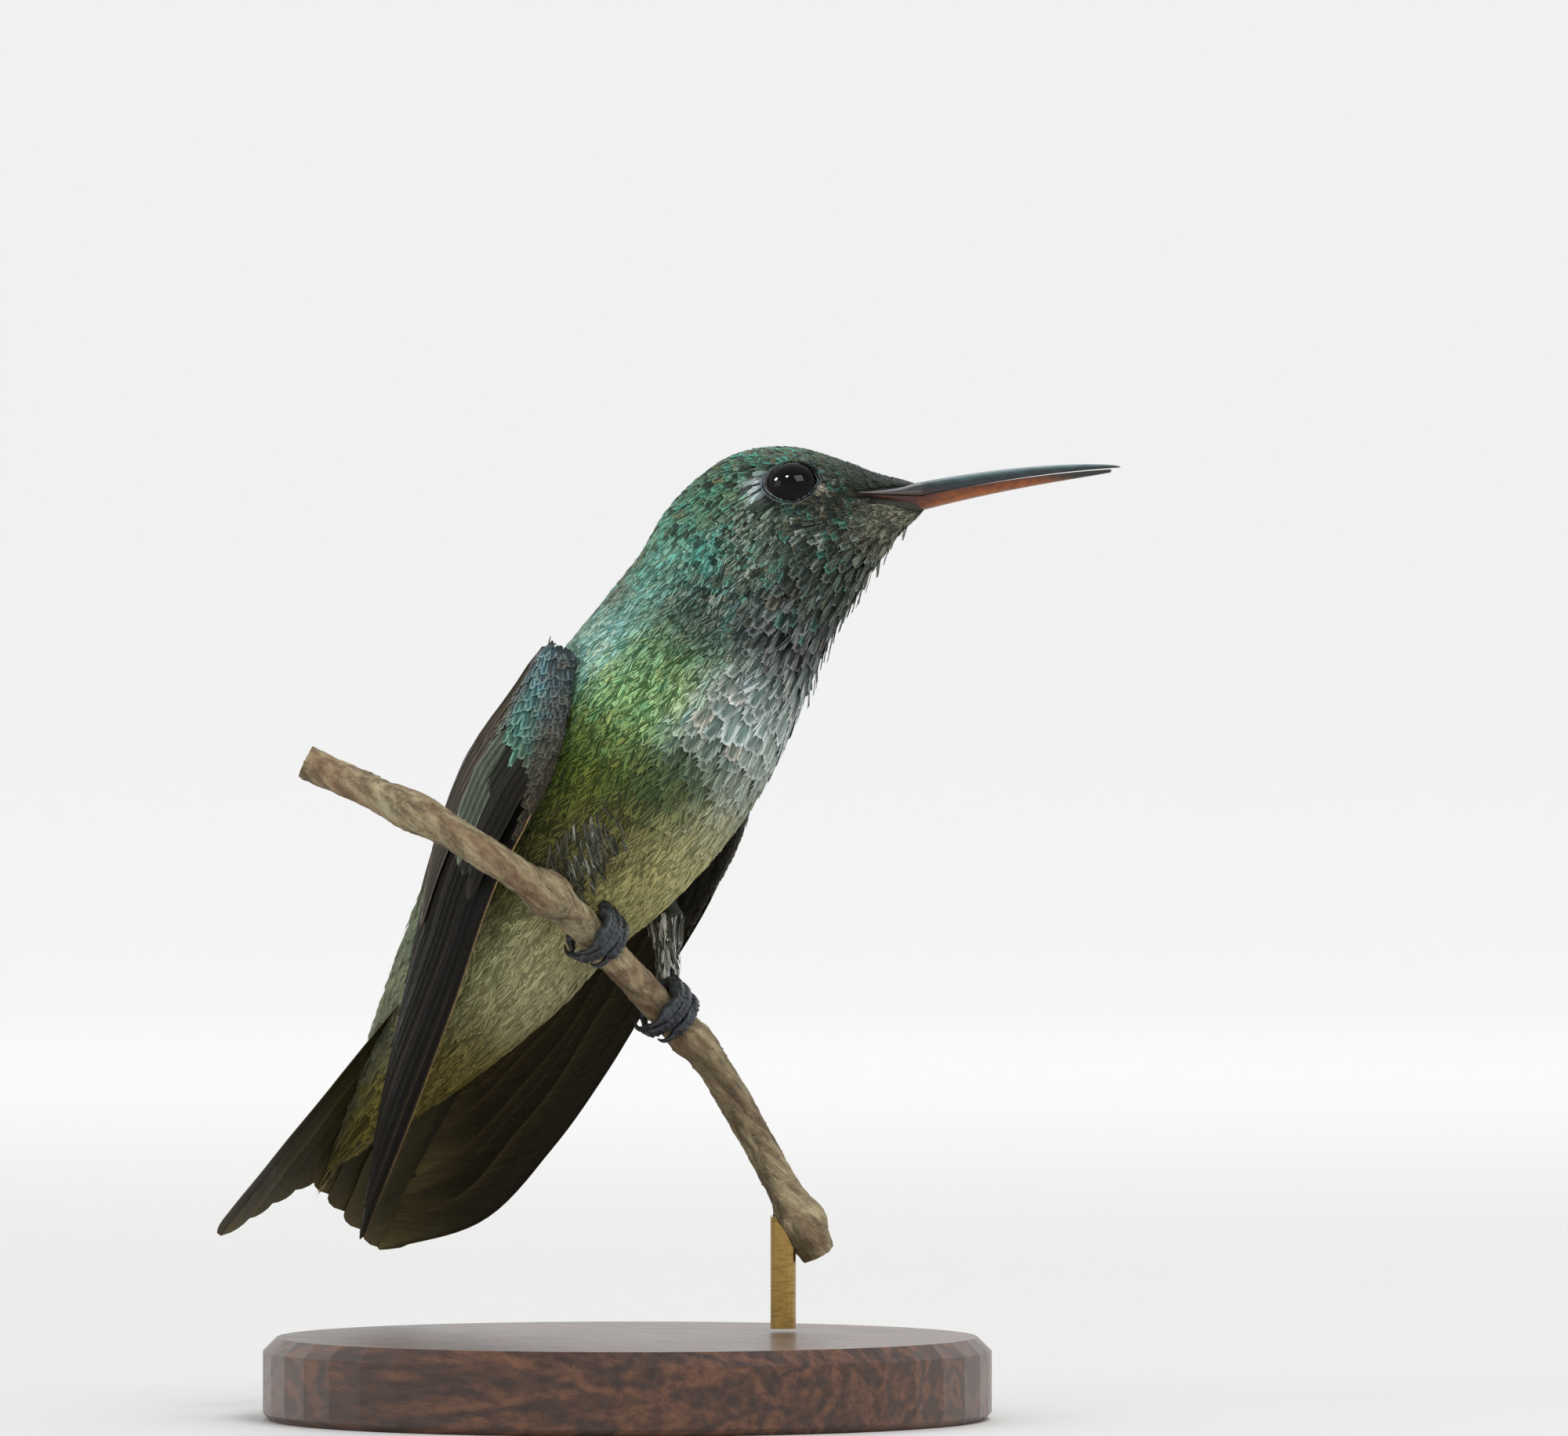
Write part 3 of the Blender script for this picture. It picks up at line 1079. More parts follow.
def lay_vanes(surface, place, angle, grows, lobes, map_at, heading=0.0, clear=None, rise=0.0):
    """Vanes rooted at these places: points, triangles and values, ready for a mesh. They turn by the heading,
    rise so far off the coat, and are cleared out of some places by a function if one is given."""
    count, loose = len(place), grows["looseness"]
    triangles, corners = vane_template(lobes)
    station, _, kind, _ = corners.T
    ragged = rng.uniform(-1, 1, (count, len(corners), 2))
    blunt = 0.6 * grows["width"] / (LENGTHEN * grows["length"]) * (1 + 1.5 * loose)
    across, tipwards, thick = vane_shape(corners, lobes, loose, ragged, np.clip(1 - blunt, 0.45, 0.8))
    shown = np.clip(tipwards, 0, 1)
    length = (LENGTHEN * grows["length"] * rng.uniform(*LENGTH_RANGE, count))[:, None]
    half_width = (grows["width"] * rng.uniform(*WIDTH_RANGE, count) / 2)[:, None]
    turn = rng.normal(0.0, TURN_PLAY, count) * (0.6 + loose) + heading
    y = tipwards * length
    x = across * half_width + rng.normal(0.0, CURL_PLAY, count)[:, None] * tipwards**2 * length

    # from the skin up to the coat's outside, then rolled, drooping and thick
    depth = coat_depth(grows["length"])
    top = rise - TOP_DEPTH - TOP_PLAY * rng.random(count) * (0.4 + loose)
    roll = rng.normal(0.0, ROLL_PLAY, count)[:, None] * across * half_width
    height = -depth[:, None] + (top + depth)[:, None] * shown**0.85 + roll - DROOP * across**2 * half_width
    fluff = ragged[:, :, 0] * (kind == 2) * FLUFF * loose[:, None]
    height = height + fluff + thick * VANE_THICKNESS
    seat = np.repeat(place[:, None], len(corners), 1), np.repeat(angle[:, None], len(corners), 1)
    points = patch_point(surface, seat, y, x, height, turn[:, None])
    if clear is not None:
        points = clear(points)

    # the template's triangles, turned outwards, once for each vane
    a, b, c = (points[:, triangles[:, k]] - points[:, :1] for k in range(3))
    volume = np.sum(a * np.cross(b, c))
    facing = triangles if volume > 0 else triangles[:, ::-1]
    numbers = (np.arange(count) * len(corners))[:, None, None] + facing[None]
    rim = np.select([kind == 2, kind == 1, station >= lobes], [1.0, 0.8, 0.6], 0.0)
    play = np.exp(rng.normal(0, 1, count)[:, None] * grows["gloss"][:, None] * PLAY_OF_COLOUR)
    tuft = np.stack([across * 0.5, shown - 0.5], -1) * TUFT_PATCH
    values = {
        "OFBake": (map_at(place, angle)[:, None] + tuft).reshape(-1, 2),
        "Vane": np.stack([x, y], -1).reshape(-1, 2),
        "Tipward": shown.reshape(-1),
        "Rim": (rim * np.clip((tipwards - 0.3) / 0.35, 0, 1)).reshape(-1),
    }
    whole = {"Chance": rng.random(count), "Loose": loose, "Gloss": grows["gloss"]}
    whole |= {"Ground": grows["ground"] * play, "Fringe": grows["fringe"] * play}
    values |= {label: np.repeat(value, len(corners), 0) for label, value in whole.items()}
    return points.reshape(-1, 3), numbers.reshape(-1, 3), values


def feather_mesh(name, solids):
    """Laid vanes as one mesh with the maps and marks that the plumage finish reads."""
    points, triangles, values = joined(solids)
    maps = [(label, values.pop(label)) for label in ("OFBake", "Vane")]
    mesh = make_mesh(name, points, triangles, maps, list(values.items()))
    mesh.uv_layers.active = mesh.uv_layers["OFBake"]
    return mesh


# %% [markdown]
# ## The coat of the body
# Head and breast are covered in small rounded scales, the flanks and belly in longer loose ones. The coat
# is made in nine pieces of up to 150,000 triangles, split along the body, so that none is too heavy to
# export.

# %% Where body feathers grow
def body_map(place, angle):
    left, bottom, width, height = BODY_PATCH
    share = np.mod(angle, 2 * math.pi) / (2 * math.pi)
    return np.stack([left + width * share, bottom + height * np.clip(place / BODY_ENDS, 0, 1)], -1)


def body_spacing(place, angle):
    """Between roots: rounded scales stand far enough apart to be seen whole, loose feathers close by."""
    grows = plumage(place, angle)
    return grows["width"] * np.interp(grows["looseness"], (0.25, 0.45), (0.72, 0.5))


CLEAR_LENGTH, CLEAR_HEIGHT, CLEAR_DEPTH = LID_HALF_LENGTH + 0.2, LID_HALF_HEIGHT + 0.12, 3.0  # for each eye
EYE_AXES = {}
for side, seat in EYE_SEATS.items():
    here, along_p, _, normal = slopes(body_point, *(np.array(value) for value in seat))
    tailwards = unit(along_p)
    EYE_AXES[side] = (here, tailwards, unit(np.cross(normal, tailwards)), normal)


def clear_of_eyes(points):
    """Feather corners that would hang over an eye, moved out to the rim of its lid."""
    for middle, tailwards, across, normal in EYE_AXES.values():
        away = points - middle
        x, y = away @ tailwards, away @ across
        reach = np.hypot(x / CLEAR_LENGTH, y / CLEAR_HEIGHT)
        near = (reach < 1) & (np.abs(away @ normal) < CLEAR_DEPTH)
        grow = np.where(near, 1.0 / np.maximum(reach, 0.05) - 1.0, 0.0)[..., None]
        points = points + (x[..., None] * tailwards + y[..., None] * across) * grow
    return points


BILL_SLOT = {"from": 22.5, "to": 27.2, "heights": (0.5, 2.35), "middles": (40.5, 40.33), "margin": 0.12}


def off_the_face(here):
    """Whether a root stands clear of the eyes and of the bare wedge of the bill."""
    plain = turned(here, -1.0)
    share = (plain[:, 0] - BILL_SLOT["from"]) / (BILL_SLOT["to"] - BILL_SLOT["from"])
    half = np.interp(share, (0, 1), BILL_SLOT["heights"]) / 2
    middle = np.interp(share, (0, 1), BILL_SLOT["middles"])
    free = (share < 0) | (np.abs(plain[:, 2] - middle) > half + BILL_SLOT["margin"])
    for middle, tailwards, across, normal in EYE_AXES.values():
        away = here - middle
        reach = np.hypot(away @ tailwards / CLEAR_LENGTH, away @ across / CLEAR_HEIGHT)
        free &= (reach > 1.0) | (np.abs(away @ normal) > CLEAR_DEPTH)
    return free


def round_the_eyes(place, angle):
    """Which way feathers turn to stream past the eyes: up over them or down under them."""
    here = body_point(place, angle)
    heading = np.zeros(len(place))
    for middle, tailwards, across, normal in EYE_AXES.values():
        away = here - middle
        x, y = away @ tailwards, away @ across
        near = bell(np.hypot(x, y), 0.0, 3.2) * (np.abs(away @ normal) < 4.0)
        heading += near * np.where(x < 0, 1.0, -0.6) * np.arctan2(y, np.abs(x) + 1.2) * 0.9
    return heading


print("feathers keep", round(CLEAR_LENGTH, 2), "and", round(CLEAR_HEIGHT, 2), "mm from each eye's middle")

# %% Cover the body
FLECKS = [
    # picked from, to, strength on top of the head and on its sides, ground, fringe
    (0.0, 0.13, 0.8, 0.3, "#1f6b5c", "#58d2b6"),
    (0.13, 0.25, 0.75, 0.25, "#4a3c20", "#9a8350"),
    (0.25, 0.47, 0.8, 0.8, "#0d120c", "#26332a"),
    (0.47, 0.58, 0.15, 0.55, "#5a685d", "#c4d2c8"),
]
COATS = {
    # from place, to place, points a side, slot, finish
    "coat_face": (0.12, 2.9, 5, "head_plumage", scaly_plumage),
    "coat_head": (2.9, 4.2, 5, "head_plumage", scaly_plumage),
    "coat_throat": (4.2, 5.6, 6, "head_plumage", scaly_plumage),
    "coat_neck": (5.6, 6.5, 7, "head_plumage", scaly_plumage),
    "coat_shoulders": (6.5, 7.6, 7, "green_plumage", scaly_plumage),
    "coat_breast": (7.6, 9.2, 7, "green_plumage", scaly_plumage),
    "coat_belly": (9.2, 10.6, 7, "belly_plumage", loose_plumage),
    "coat_flanks": (10.6, 12.4, 7, "belly_plumage", loose_plumage),
    "coat_rump": (12.4, 15.0, 8, "belly_plumage", loose_plumage),
}


def flecked(grows, place, angle):
    """Some feathers of the head are turquoise, bronze, grey or nearly black, not green."""
    dark = np.clip(place - 1.2, 0, 1) * (grows["ground"].max(-1) < 0.3)
    top = np.clip(1.7 - np.arccos(np.cos(angle)) / 0.5, 0, 1)
    above = top * np.clip(7.2 - place, 0, 1) * dark
    below = (1 - top) * np.clip(6.0 - place, 0, 1) * dark
    picked = rng.random(len(place))
    for low, high, on_top, on_sides, ground, fringe in FLECKS:
        share = (on_top * above + on_sides * below) * ((picked >= low) & (picked < high))
        grows["ground"] = mixed(grows["ground"], linear(ground), share)
        grows["fringe"] = mixed(grows["fringe"], linear(fringe), share)
    return grows


body_coats = {}
for name, (start, end, lobes, *_) in COATS.items():
    limits = ((start, end), (-math.pi, math.pi))
    roots = scatter_roots(body_point, limits, body_spacing, 16000, keep=off_the_face)
    grows, heading = flecked(plumage(*roots), *roots), round_the_eyes(*roots)
    vanes = lay_vanes(body_point, *roots, grows, lobes, body_map, heading=heading, clear=clear_of_eyes)
    body_coats[name] = [vanes]
    print(f"{name}: {len(heading)} feathers, {len(vanes[1])} triangles")


# %% The ragged edge of the throat
# Narrow feathers stand a little off the throat, as they do when a bird stretches its neck.
limits = ((0.5, 6.2), (math.radians(128), math.radians(232)))
roots = scatter_roots(body_point, limits, evenly(1.1), 1600, keep=off_the_face)
grows, count = plumage(*roots), len(roots[0])
grows["length"] = 0.6 + 0.75 * grows["length"]
grows["width"], grows["looseness"] = np.full(count, 0.6), np.full(count, 0.5)
beard = lay_vanes(body_point, *roots, grows, 5, body_map, rise=0.35 + 0.3 * rng.random(count))
body_coats["coat_head"].append(beard)
print(count, "feathers stand off the throat")

# %% Plumes of the flank
# Dark and white strands hang out beside each thigh.
PLUME_ANGLE, PLUME_REACH, PLUME_LEAN, PALE_SHARE = math.radians(103), math.radians(6), 0.95, 0.28
for way in SIGN.values():
    limits = ((8.5, 9.7), (way * PLUME_ANGLE - PLUME_REACH, way * PLUME_ANGLE + PLUME_REACH))
    roots = scatter_roots(body_point, limits, evenly(0.3), 900)
    grows, count = plumage(*roots), len(roots[0])
    pale = rng.random(count) < PALE_SHARE
    grows["ground"] = mixed(linear("#3a3b2f"), linear("#6a6b60"), pale)
    grows["fringe"] = mixed(linear("#727363"), linear("#bdbeb0"), pale)
    grows["length"], grows["width"] = rng.uniform(3.4, 6.0, count), np.full(count, 0.32)
    grows["looseness"] = np.full(count, 0.9)
    rise = 0.05 + 0.2 * rng.random(count)
    plumes = lay_vanes(body_point, *roots, grows, 5, body_map, heading=way * PLUME_LEAN, rise=rise)
    body_coats["coat_belly"].append(plumes)
print(count, "plumes on a flank")

# %% Coat pieces
for name, (*_, slot, finish) in COATS.items():
    add_piece(name, feather_mesh(name, body_coats[name]), finish)
flesh = ["head", "neck", "trunk", "rump", "thigh_right", "thigh_left"]
add_piece("skin", skin_mesh, skin_finish, flesh)

# %% [markdown]
# ## Flight feathers
# The long feathers of wings and tail are stiff blades. Each is one closed plate, lofted along its shaft, a
# little thicker at the shaft and thinning to both edges, with a rounded tip. The plates lie on the sheet of
# their wing or tail, each a little above the next, so they slide over one another like the sticks of a fan.

# %% One blade
BLADE_ACROSS = np.array([-1.0, -0.84, -0.45, -0.1, 0.0, 0.1, 0.3, 0.58, 0.86, 1.0])
BLADE_THICK = np.array([0.02, 0.035, 0.045, 0.055, 0.13, 0.055, 0.05, 0.045, 0.035, 0.02])
SHAFT = 4  # which of them is the shaft
BLADE_DROOP, SHAFT_TONE, INNER_TONE = 0.05, 0.65, 1.05  # edges hang a little, and the shaft is darker
LONGEST_RIM, OUTER_RIM, INNER_RIM = 0.8, 1.0, 0.35  # how far the edge's colour takes over at tip and sides


def blade_outline(u, rounding, root=0.3, root_length=0.12):
    """How wide a blade is at each share of its length, against its widest."""
    grown = root + (1 - root) * np.clip(u / root_length, 0, 1)
    ending = np.sqrt(np.clip(1 - (np.clip(u - 1 + rounding, 0, None) / rounding) ** 2, 0.0, 1))
    return grown * np.maximum(ending, 0.06)


def both_faces(values):
    """Values across a blade's upper face, and back across its under face."""
    return np.concatenate([values, values[:, ::-1]], 1)


def blade(sheet, shaft, widths, stack, strip, colours, rows, rounding, gloss=0.25, hold=(0.0, 1.0), lit=0.6):
    """One flight feather on a sheet. shaft gives its line, widths are those of its outer and inner vane, and
    colours are its ground, its edge's and, if it has one, its tip's. hold keeps it on the sheet."""
    u = 1 - (1 - np.linspace(0.0, 1.0, rows)) ** 1.25
    s, t = shaft(u)
    _, _, width = sheet(s, t)
    outer, inner = widths
    reach = np.where(BLADE_ACROSS < 0, outer, inner) * BLADE_ACROSS * blade_outline(u, rounding)[:, None]
    reach = reach * (1 + 0.03 * np.sin(u * 23 + outer * 40)[:, None] * np.abs(BLADE_ACROSS))
    wide = np.clip(t[:, None] + reach / width[:, None], *hold)
    middle, out, _ = sheet(np.repeat(s[:, None], len(BLADE_ACROSS), 1), wide)
    lift = stack * (0.15 + 0.85 * np.clip(u / 0.45, 0, 1))[:, None] - BLADE_DROOP * BLADE_ACROSS**2
    thick = BLADE_THICK * (0.5 + 0.5 * (1 - u))[:, None]
    top, under = middle + out * (lift + thick)[..., None], middle + out * (lift - thick)[..., None]
    points = np.concatenate([top, under[:, ::-1]], 1)
    run = np.concatenate([[0], np.cumsum(np.linalg.norm(np.diff(middle[:, SHAFT], axis=0), axis=1))])
    flat, sides, count = points.reshape(-1, 3), points.shape[1], points.shape[0] * points.shape[1]
    triangles = outwards(flat, loft_faces(rows, sides))
    r, i = triangles // sides, unbroken(triangles % sides, sides)
    corner_map = np.stack([strip[0] + strip[1] * i / sides, 0.01 + 0.98 * r / (rows - 1)], -1).reshape(-1, 2)

    edged = np.clip((np.abs(BLADE_ACROSS) - 0.8) / 0.2, 0, 1)
    edged = edged * np.where(BLADE_ACROSS < 0, OUTER_RIM, INNER_RIM)
    ending = np.clip((u - 1 + rounding * 0.6) / (rounding * 0.6), 0, 1)[:, None] ** 2
    rim = np.maximum(both_faces(edged[None]), LONGEST_RIM * ending)
    ground, edge, *tips = (linear(colour) for colour in colours)
    base = mixed(ground, edge, rim)
    for tip in tips:
        base = mixed(base, tip, np.clip((u - 0.8) / 0.2, 0, 1)[:, None] ** 1.5)
    tone = np.where(BLADE_ACROSS < 0, lit, INNER_TONE) * np.where(BLADE_ACROSS == 0, SHAFT_TONE, 1.0)
    base = (base * both_faces(tone[None])[..., None]).reshape(-1, 3)
    values = {
        "OFBake": corner_map,
        "Vane": np.stack([both_faces(reach), np.repeat(run[:, None], sides, 1)], -1).reshape(-1, 2),
    }
    whole = {"Tipward": 0.6, "Rim": 0.0, "Chance": rng.random(), "Loose": 0.3, "Gloss": gloss}
    values |= {label: np.full(count, value) for label, value in whole.items()}
    return flat, triangles, values | {"Ground": base, "Fringe": base * 1.12}


print(len(loft_faces(26, 2 * len(BLADE_ACROSS))), "triangles in a blade of 26 rows")

# %% [markdown]
# ## Wings
# Ten primaries run nearly side by side to the wing's point, the tenth longest. Each ends on the trailing
# edge a little short of its outer neighbour. The inner ones lie on top, seen from outside. Over their roots
# lie the brown secondaries, then the greater coverts like fingers, then scale-like lesser coverts up to the
# bend.

# %% Primaries, secondaries and greater coverts
PRIMARY_COUNT, STACK = 10, 0.26
PRIMARY_SHIFTS = [0, 0.0, 0.2, -0.15, 0.25, -0.2, 0.1, 0.3, -0.2, 0.1, 0.0]  # they never lie quite evenly
FLIGHT_COLOURS = {"right": ("#120f09", "#7a6949", "#2a2418"), "left": ("#30291a", "#6c6043", "#6c6340")}
PRIMARY_WIDTHS = {"right": (0.62, 2.4), "left": (0.62, 3.4)}
LEADING_WIDTHS, LEADING_EDGE, LEADING_LIT = (0.34, 2.4), "#c4a274", 1.4  # a bright line along the near wing


def primary_line(k):
    """The line of a primary's shaft over the wing's sheet, from its root to its tip."""
    root, tip, shift = 0.03 + 0.022 * k, 0.5 + 0.05 * k, PRIMARY_SHIFTS[k]

    def line(u):
        s = root + (tip - root) * u
        ended = np.clip((s - 0.5) / 0.05, 0, PRIMARY_COUNT)
        return s, (PRIMARY_COUNT + 0.3 - k + shift) / (PRIMARY_COUNT + 0.9 - np.minimum(ended, k))

    return line


def straight_line(root, tip):
    """A shaft's line over the sheet between two places, slightly bowed."""
    return lambda u: (
        root[0] + (tip[0] - root[0]) * u,
        root[1] + (tip[1] - root[1]) * u + 0.02 * np.sin(u * math.pi),
    )


WING_ROWS = {
    # first root, first tip, steps of root and tip, widths, stack, ground and edge, gloss, how many
    "tertials": (
        ((0.02, 0.80), (0.36, 0.86), (0.0, 0.05), (0.045, 0.03)),
        ((0.55, 1.1), 0.5, ("#5e5346", "#93876f"), 0.1, 4),
    ),
    "secondaries": (
        ((0.16, 0.56), (0.50, 0.74), (-0.012, 0.055), (-0.024, 0.045)),
        ((0.6, 1.3), 0.46, ("#544a40", "#a39682"), 0.1, 6),
    ),
    "alula": (
        ((0.14, 0.10), (0.43, 0.10), (0.01, 0.05), (-0.035, 0.07)),
        ((0.5, 1.0), 0.8, ("#211e18", "#4c4638"), 0.2, 3),
    ),
    "primary coverts": (
        ((0.16, 0.24), (0.40, 0.26), (0.0, 0.06), (-0.01, 0.07)),
        ((0.6, 1.0), 0.7, ("#26251e", "#4f4d40"), 0.2, 4),
    ),
    "greater coverts": (
        ((0.17, 0.42), (0.385, 0.36), (-0.004, 0.06), (-0.02, 0.075)),
        ((0.55, 0.7), 0.85, ("#65705f", "#c4cab3"), 0.2, 4),
    ),
}
BLADE_COUNT = PRIMARY_COUNT + sum(row[-1] for _, row in WING_ROWS.values())
for side in SIGN:
    sheet, (dark, rim, tip), blades = wing_sheet_of(side), FLIGHT_COLOURS[side], []
    for k in range(1, PRIMARY_COUNT + 1):
        stack = STACK * (1 - 2 * (k - 1) / (PRIMARY_COUNT - 1))
        leading = k == PRIMARY_COUNT and side == "right"
        widths = LEADING_WIDTHS if leading else PRIMARY_WIDTHS[side]
        edge, lit = (LEADING_EDGE, LEADING_LIT) if leading else (rim, 0.6)
        strip = (len(blades) / BLADE_COUNT, 0.9 / BLADE_COUNT)
        colours = (dark, edge, tip)
        blades.append(blade(sheet, primary_line(k), widths, stack, strip, colours, 40, 0.05, lit=lit))
    for (root, end, root_step, tip_step), (widths, stack, colours, gloss, number) in WING_ROWS.values():
        for k in range(number):
            first, last = (np.add(a, np.multiply(b, k)) for a, b in ((root, root_step), (end, tip_step)))
            line = straight_line(first, last)
            strip = (len(blades) / BLADE_COUNT, 0.9 / BLADE_COUNT)
            blades.append(blade(sheet, line, widths, stack + 0.05 * k, strip, colours, 18, 0.2, gloss=gloss))
    name = f"flight_feathers_{side}"
    add_piece(name, feather_mesh(name, blades), flight_finish, [f"wing_{side}"])


# %% [markdown]
# The lesser coverts lie on a second surface, which wraps round the wing's thick leading edge to its
# underside. One of its directions is counted in millimetres round the section, so scales keep their size
# over the edge.

# %% The surface for lesser coverts
BONE_THICKNESS, EDGE_THICKNESS, BONE_SHARE, BEND_ROUND, BEND_BEYOND = 2.2, 0.6, 0.62, 0.024, 0.008
WIDTH_AT = 0.3  # of the way across, where a wing's width is asked for


def wing_cover_of(side):
    """The outside of a folded wing, and round its leading edge, by share of length and millimetres round."""
    sheet = wing_sheet_of(side)

    def cover(s, q):
        s, q = np.broadcast_arrays(np.asarray(s, float), np.asarray(q, float))
        q = q * -SIGN[side]
        _, _, width = sheet(s, np.full_like(s, WIDTH_AT))
        radius = (BONE_THICKNESS + (EDGE_THICKNESS - BONE_THICKNESS) * np.clip(s / BONE_SHARE, 0, 1)) / 2
        turn = np.clip((radius - q) / radius, 0.0, math.pi)
        beneath = radius + (radius - math.pi * radius - q)
        away = np.where(turn < math.pi, radius - radius * np.sin(turn), beneath)
        share = np.where(q > radius, q, away) / width
        flat = radius + (0.35 - radius) * np.clip(share, 0, 1)
        height = np.where(q > radius, flat, radius * np.cos(turn))
        height = np.where(turn >= math.pi, -flat, height)
        shrunk = np.sqrt(np.clip((s + BEND_BEYOND) / BEND_ROUND, 0.002, 1.0))
        middle, out, _ = sheet(s, 0.4 + (share - 0.4) * shrunk)
        return middle + out * (height * shrunk)[..., None]

    return cover


COVERT_TRACTS = [
    # share of length and of width, reach of both, ground, fringe, length, width, looseness, gloss, strength
    ("bend", 0.03, 0.40, 0.08, 0.5, "#46606a", "#9fc0cc", 1.2, 0.85, 0.2, 0.5, 1.0),
    ("lesser", 0.13, 0.50, 0.10, 0.25, "#35705a", "#8cc9ae", 2.7, 1.6, 0.12, 0.35, 1.2),
    ("middle", 0.22, 0.55, 0.07, 0.2, "#42846a", "#a2d8c2", 3.6, 1.8, 0.12, 0.35, 1.0),
    ("inner", 0.12, 0.90, 0.20, 0.15, "#574d43", "#91846f", 2.2, 1.2, 0.3, 0.1, 1.0),
    ("edge", 0.15, 0.08, 0.30, 0.2, "#474238", "#6b6555", 1.4, 0.9, 0.2, 0.3, 1.0),
    ("underwing", 0.15, -0.35, 0.40, 0.3, "#1f1c16", "#39352a", 1.8, 1.1, 0.5, 0.0, 1.0),
]
covert_table = as_numbers(COVERT_TRACTS)
print(len(COVERT_TRACTS), "tracts of coverts")

# %% Lesser coverts
COVERTS_END, COVERTS_SLANT = 0.30, 0.07  # they end on a line that slants over the wing
COVER_LIMITS = {"right": (-6.0, 11.0), "left": (-11.0, 6.0)}


def covert_map(s, q):
    return np.stack([0.02 + 0.96 * (np.abs(q) / 12 * 0.5 + 0.25 * (q > 0)), 0.02 + 0.9 * s / 0.4], -1)


for side in SIGN:
    cover, sheet = wing_cover_of(side), wing_sheet_of(side)

    def share_across(s, q):
        return q * -SIGN[side] / sheet(s, np.full_like(s, WIDTH_AT))[2]

    def covert_plumage(s, q):
        return blended_tracts(covert_table, s, share_across(s, q), 1.2)

    limits = ((0.01 - BEND_BEYOND, COVERTS_END), COVER_LIMITS[side])
    s, q = scatter_roots(cover, limits, lambda s, q: 0.5 * covert_plumage(s, q)["width"], 6000)
    across = share_across(s, q)
    end = COVERTS_END - COVERTS_SLANT * np.clip(0.8 - across, 0, 1) * (across > 0)
    kept = (across < 0.98) & (s < end)
    s, q = s[kept], q[kept]
    vanes = lay_vanes(cover, s, q, covert_plumage(s, q), 6, covert_map)
    name = f"wing_coverts_{side}"
    add_piece(name, feather_mesh(name, [vanes]), scaly_plumage)


# %% [markdown]
# ## Tail
# The forked tail is ten feathers on one arched fan. The middle pair lies on top and is the shortest.

# %% Tail feathers
TAIL_ROOT, TAIL_DROOP, TAIL_ROLL, TAIL_SWING = (-19.4, 0.0, 0.4), math.radians(53.0), math.radians(8.5), 2.2
TAIL_SPREAD, TAIL_ROOT_HALF_WIDTH, TAIL_ARCH = {"right": 9.2, "left": 14.0}, 3.8, 1.2
TAIL_WIDENING = math.sin(math.radians(8.6))  # of half the fan, for each millimetre of its length


def tail_sheet(reach, across):
    """A point of the fan, its upward normal and its half width, this far from its root and across."""
    reach, across = np.broadcast_arrays(np.asarray(reach, float), np.asarray(across, float))

    def at(lift):
        spread = np.where(across > 0, TAIL_SPREAD["left"], TAIL_SPREAD["right"])
        turn = np.radians(spread * across - TAIL_SWING)
        sideways = TAIL_ROOT_HALF_WIDTH * across + reach * np.sin(turn)
        back, above = reach * np.cos(turn), lift - TAIL_ARCH * across**2
        level = sideways * math.cos(TAIL_ROLL) + above * math.sin(TAIL_ROLL)
        above = above * math.cos(TAIL_ROLL) - sideways * math.sin(TAIL_ROLL)
        x = TAIL_ROOT[0] - back * math.cos(TAIL_DROOP) - above * math.sin(TAIL_DROOP)
        z = TAIL_ROOT[2] - back * math.sin(TAIL_DROOP) + above * math.cos(TAIL_DROOP)
        return np.stack([x, TAIL_ROOT[1] + level, z], -1)

    here = at(0.0)
    return here, unit(at(1.0) - here), TAIL_ROOT_HALF_WIDTH + reach * TAIL_WIDENING


def mirrored_tail(reach, across):
    return tail_sheet(reach, -across)


def rectrix_line(across, length):
    """The line of a tail feather's shaft, straight along the fan."""
    return lambda u: (RECTRIX_START + (length - RECTRIX_START) * u, np.full_like(u, -across))


OUTER_RECTRIX, INNER_RECTRIX, RECTRIX_START, FORK_CURVE = 29.8, 23.6, 2.5, 1.2
RECTRICES = [
    # place across, widths, edge
    (0.07, (1.9, 1.9), "#5f5939"),
    (0.29, (1.5, 2.3), "#5f5939"),
    (0.53, (1.5, 2.3), "#5f5939"),
    (0.77, (1.5, 2.3), "#5f5939"),
    (1.0, (1.9, 2.3), "#97865f"),
]
blades = []
for k, (across, widths, edge) in enumerate(RECTRICES):
    for half in (tail_sheet, mirrored_tail):
        length = INNER_RECTRIX + (OUTER_RECTRIX - INNER_RECTRIX) * across**FORK_CURVE
        strip, colours = (len(blades) / 10, 0.09), ("#39371c", edge, "#665a3c")
        line, stack = rectrix_line(across, length), 0.26 - 0.13 * k
        made = blade(half, line, widths, stack, strip, colours, 34, 0.075, gloss=0.3, hold=(-1.3, 1.3))
        blades.append(made)
add_piece("tail_feathers", feather_mesh("tail_feathers", blades), flight_finish, ["tail"])

# %% [markdown]
# ## Bill
# The bill is two lofts with the same stations as the solids have, with more of them and more points round.
# Each half carries its own details: a ridge and a sunken groove over the nostril above, and a plain keel
# below. Colours are set point by point, red at the corner of the mouth, and mixed into horn streaks by the
# finish.

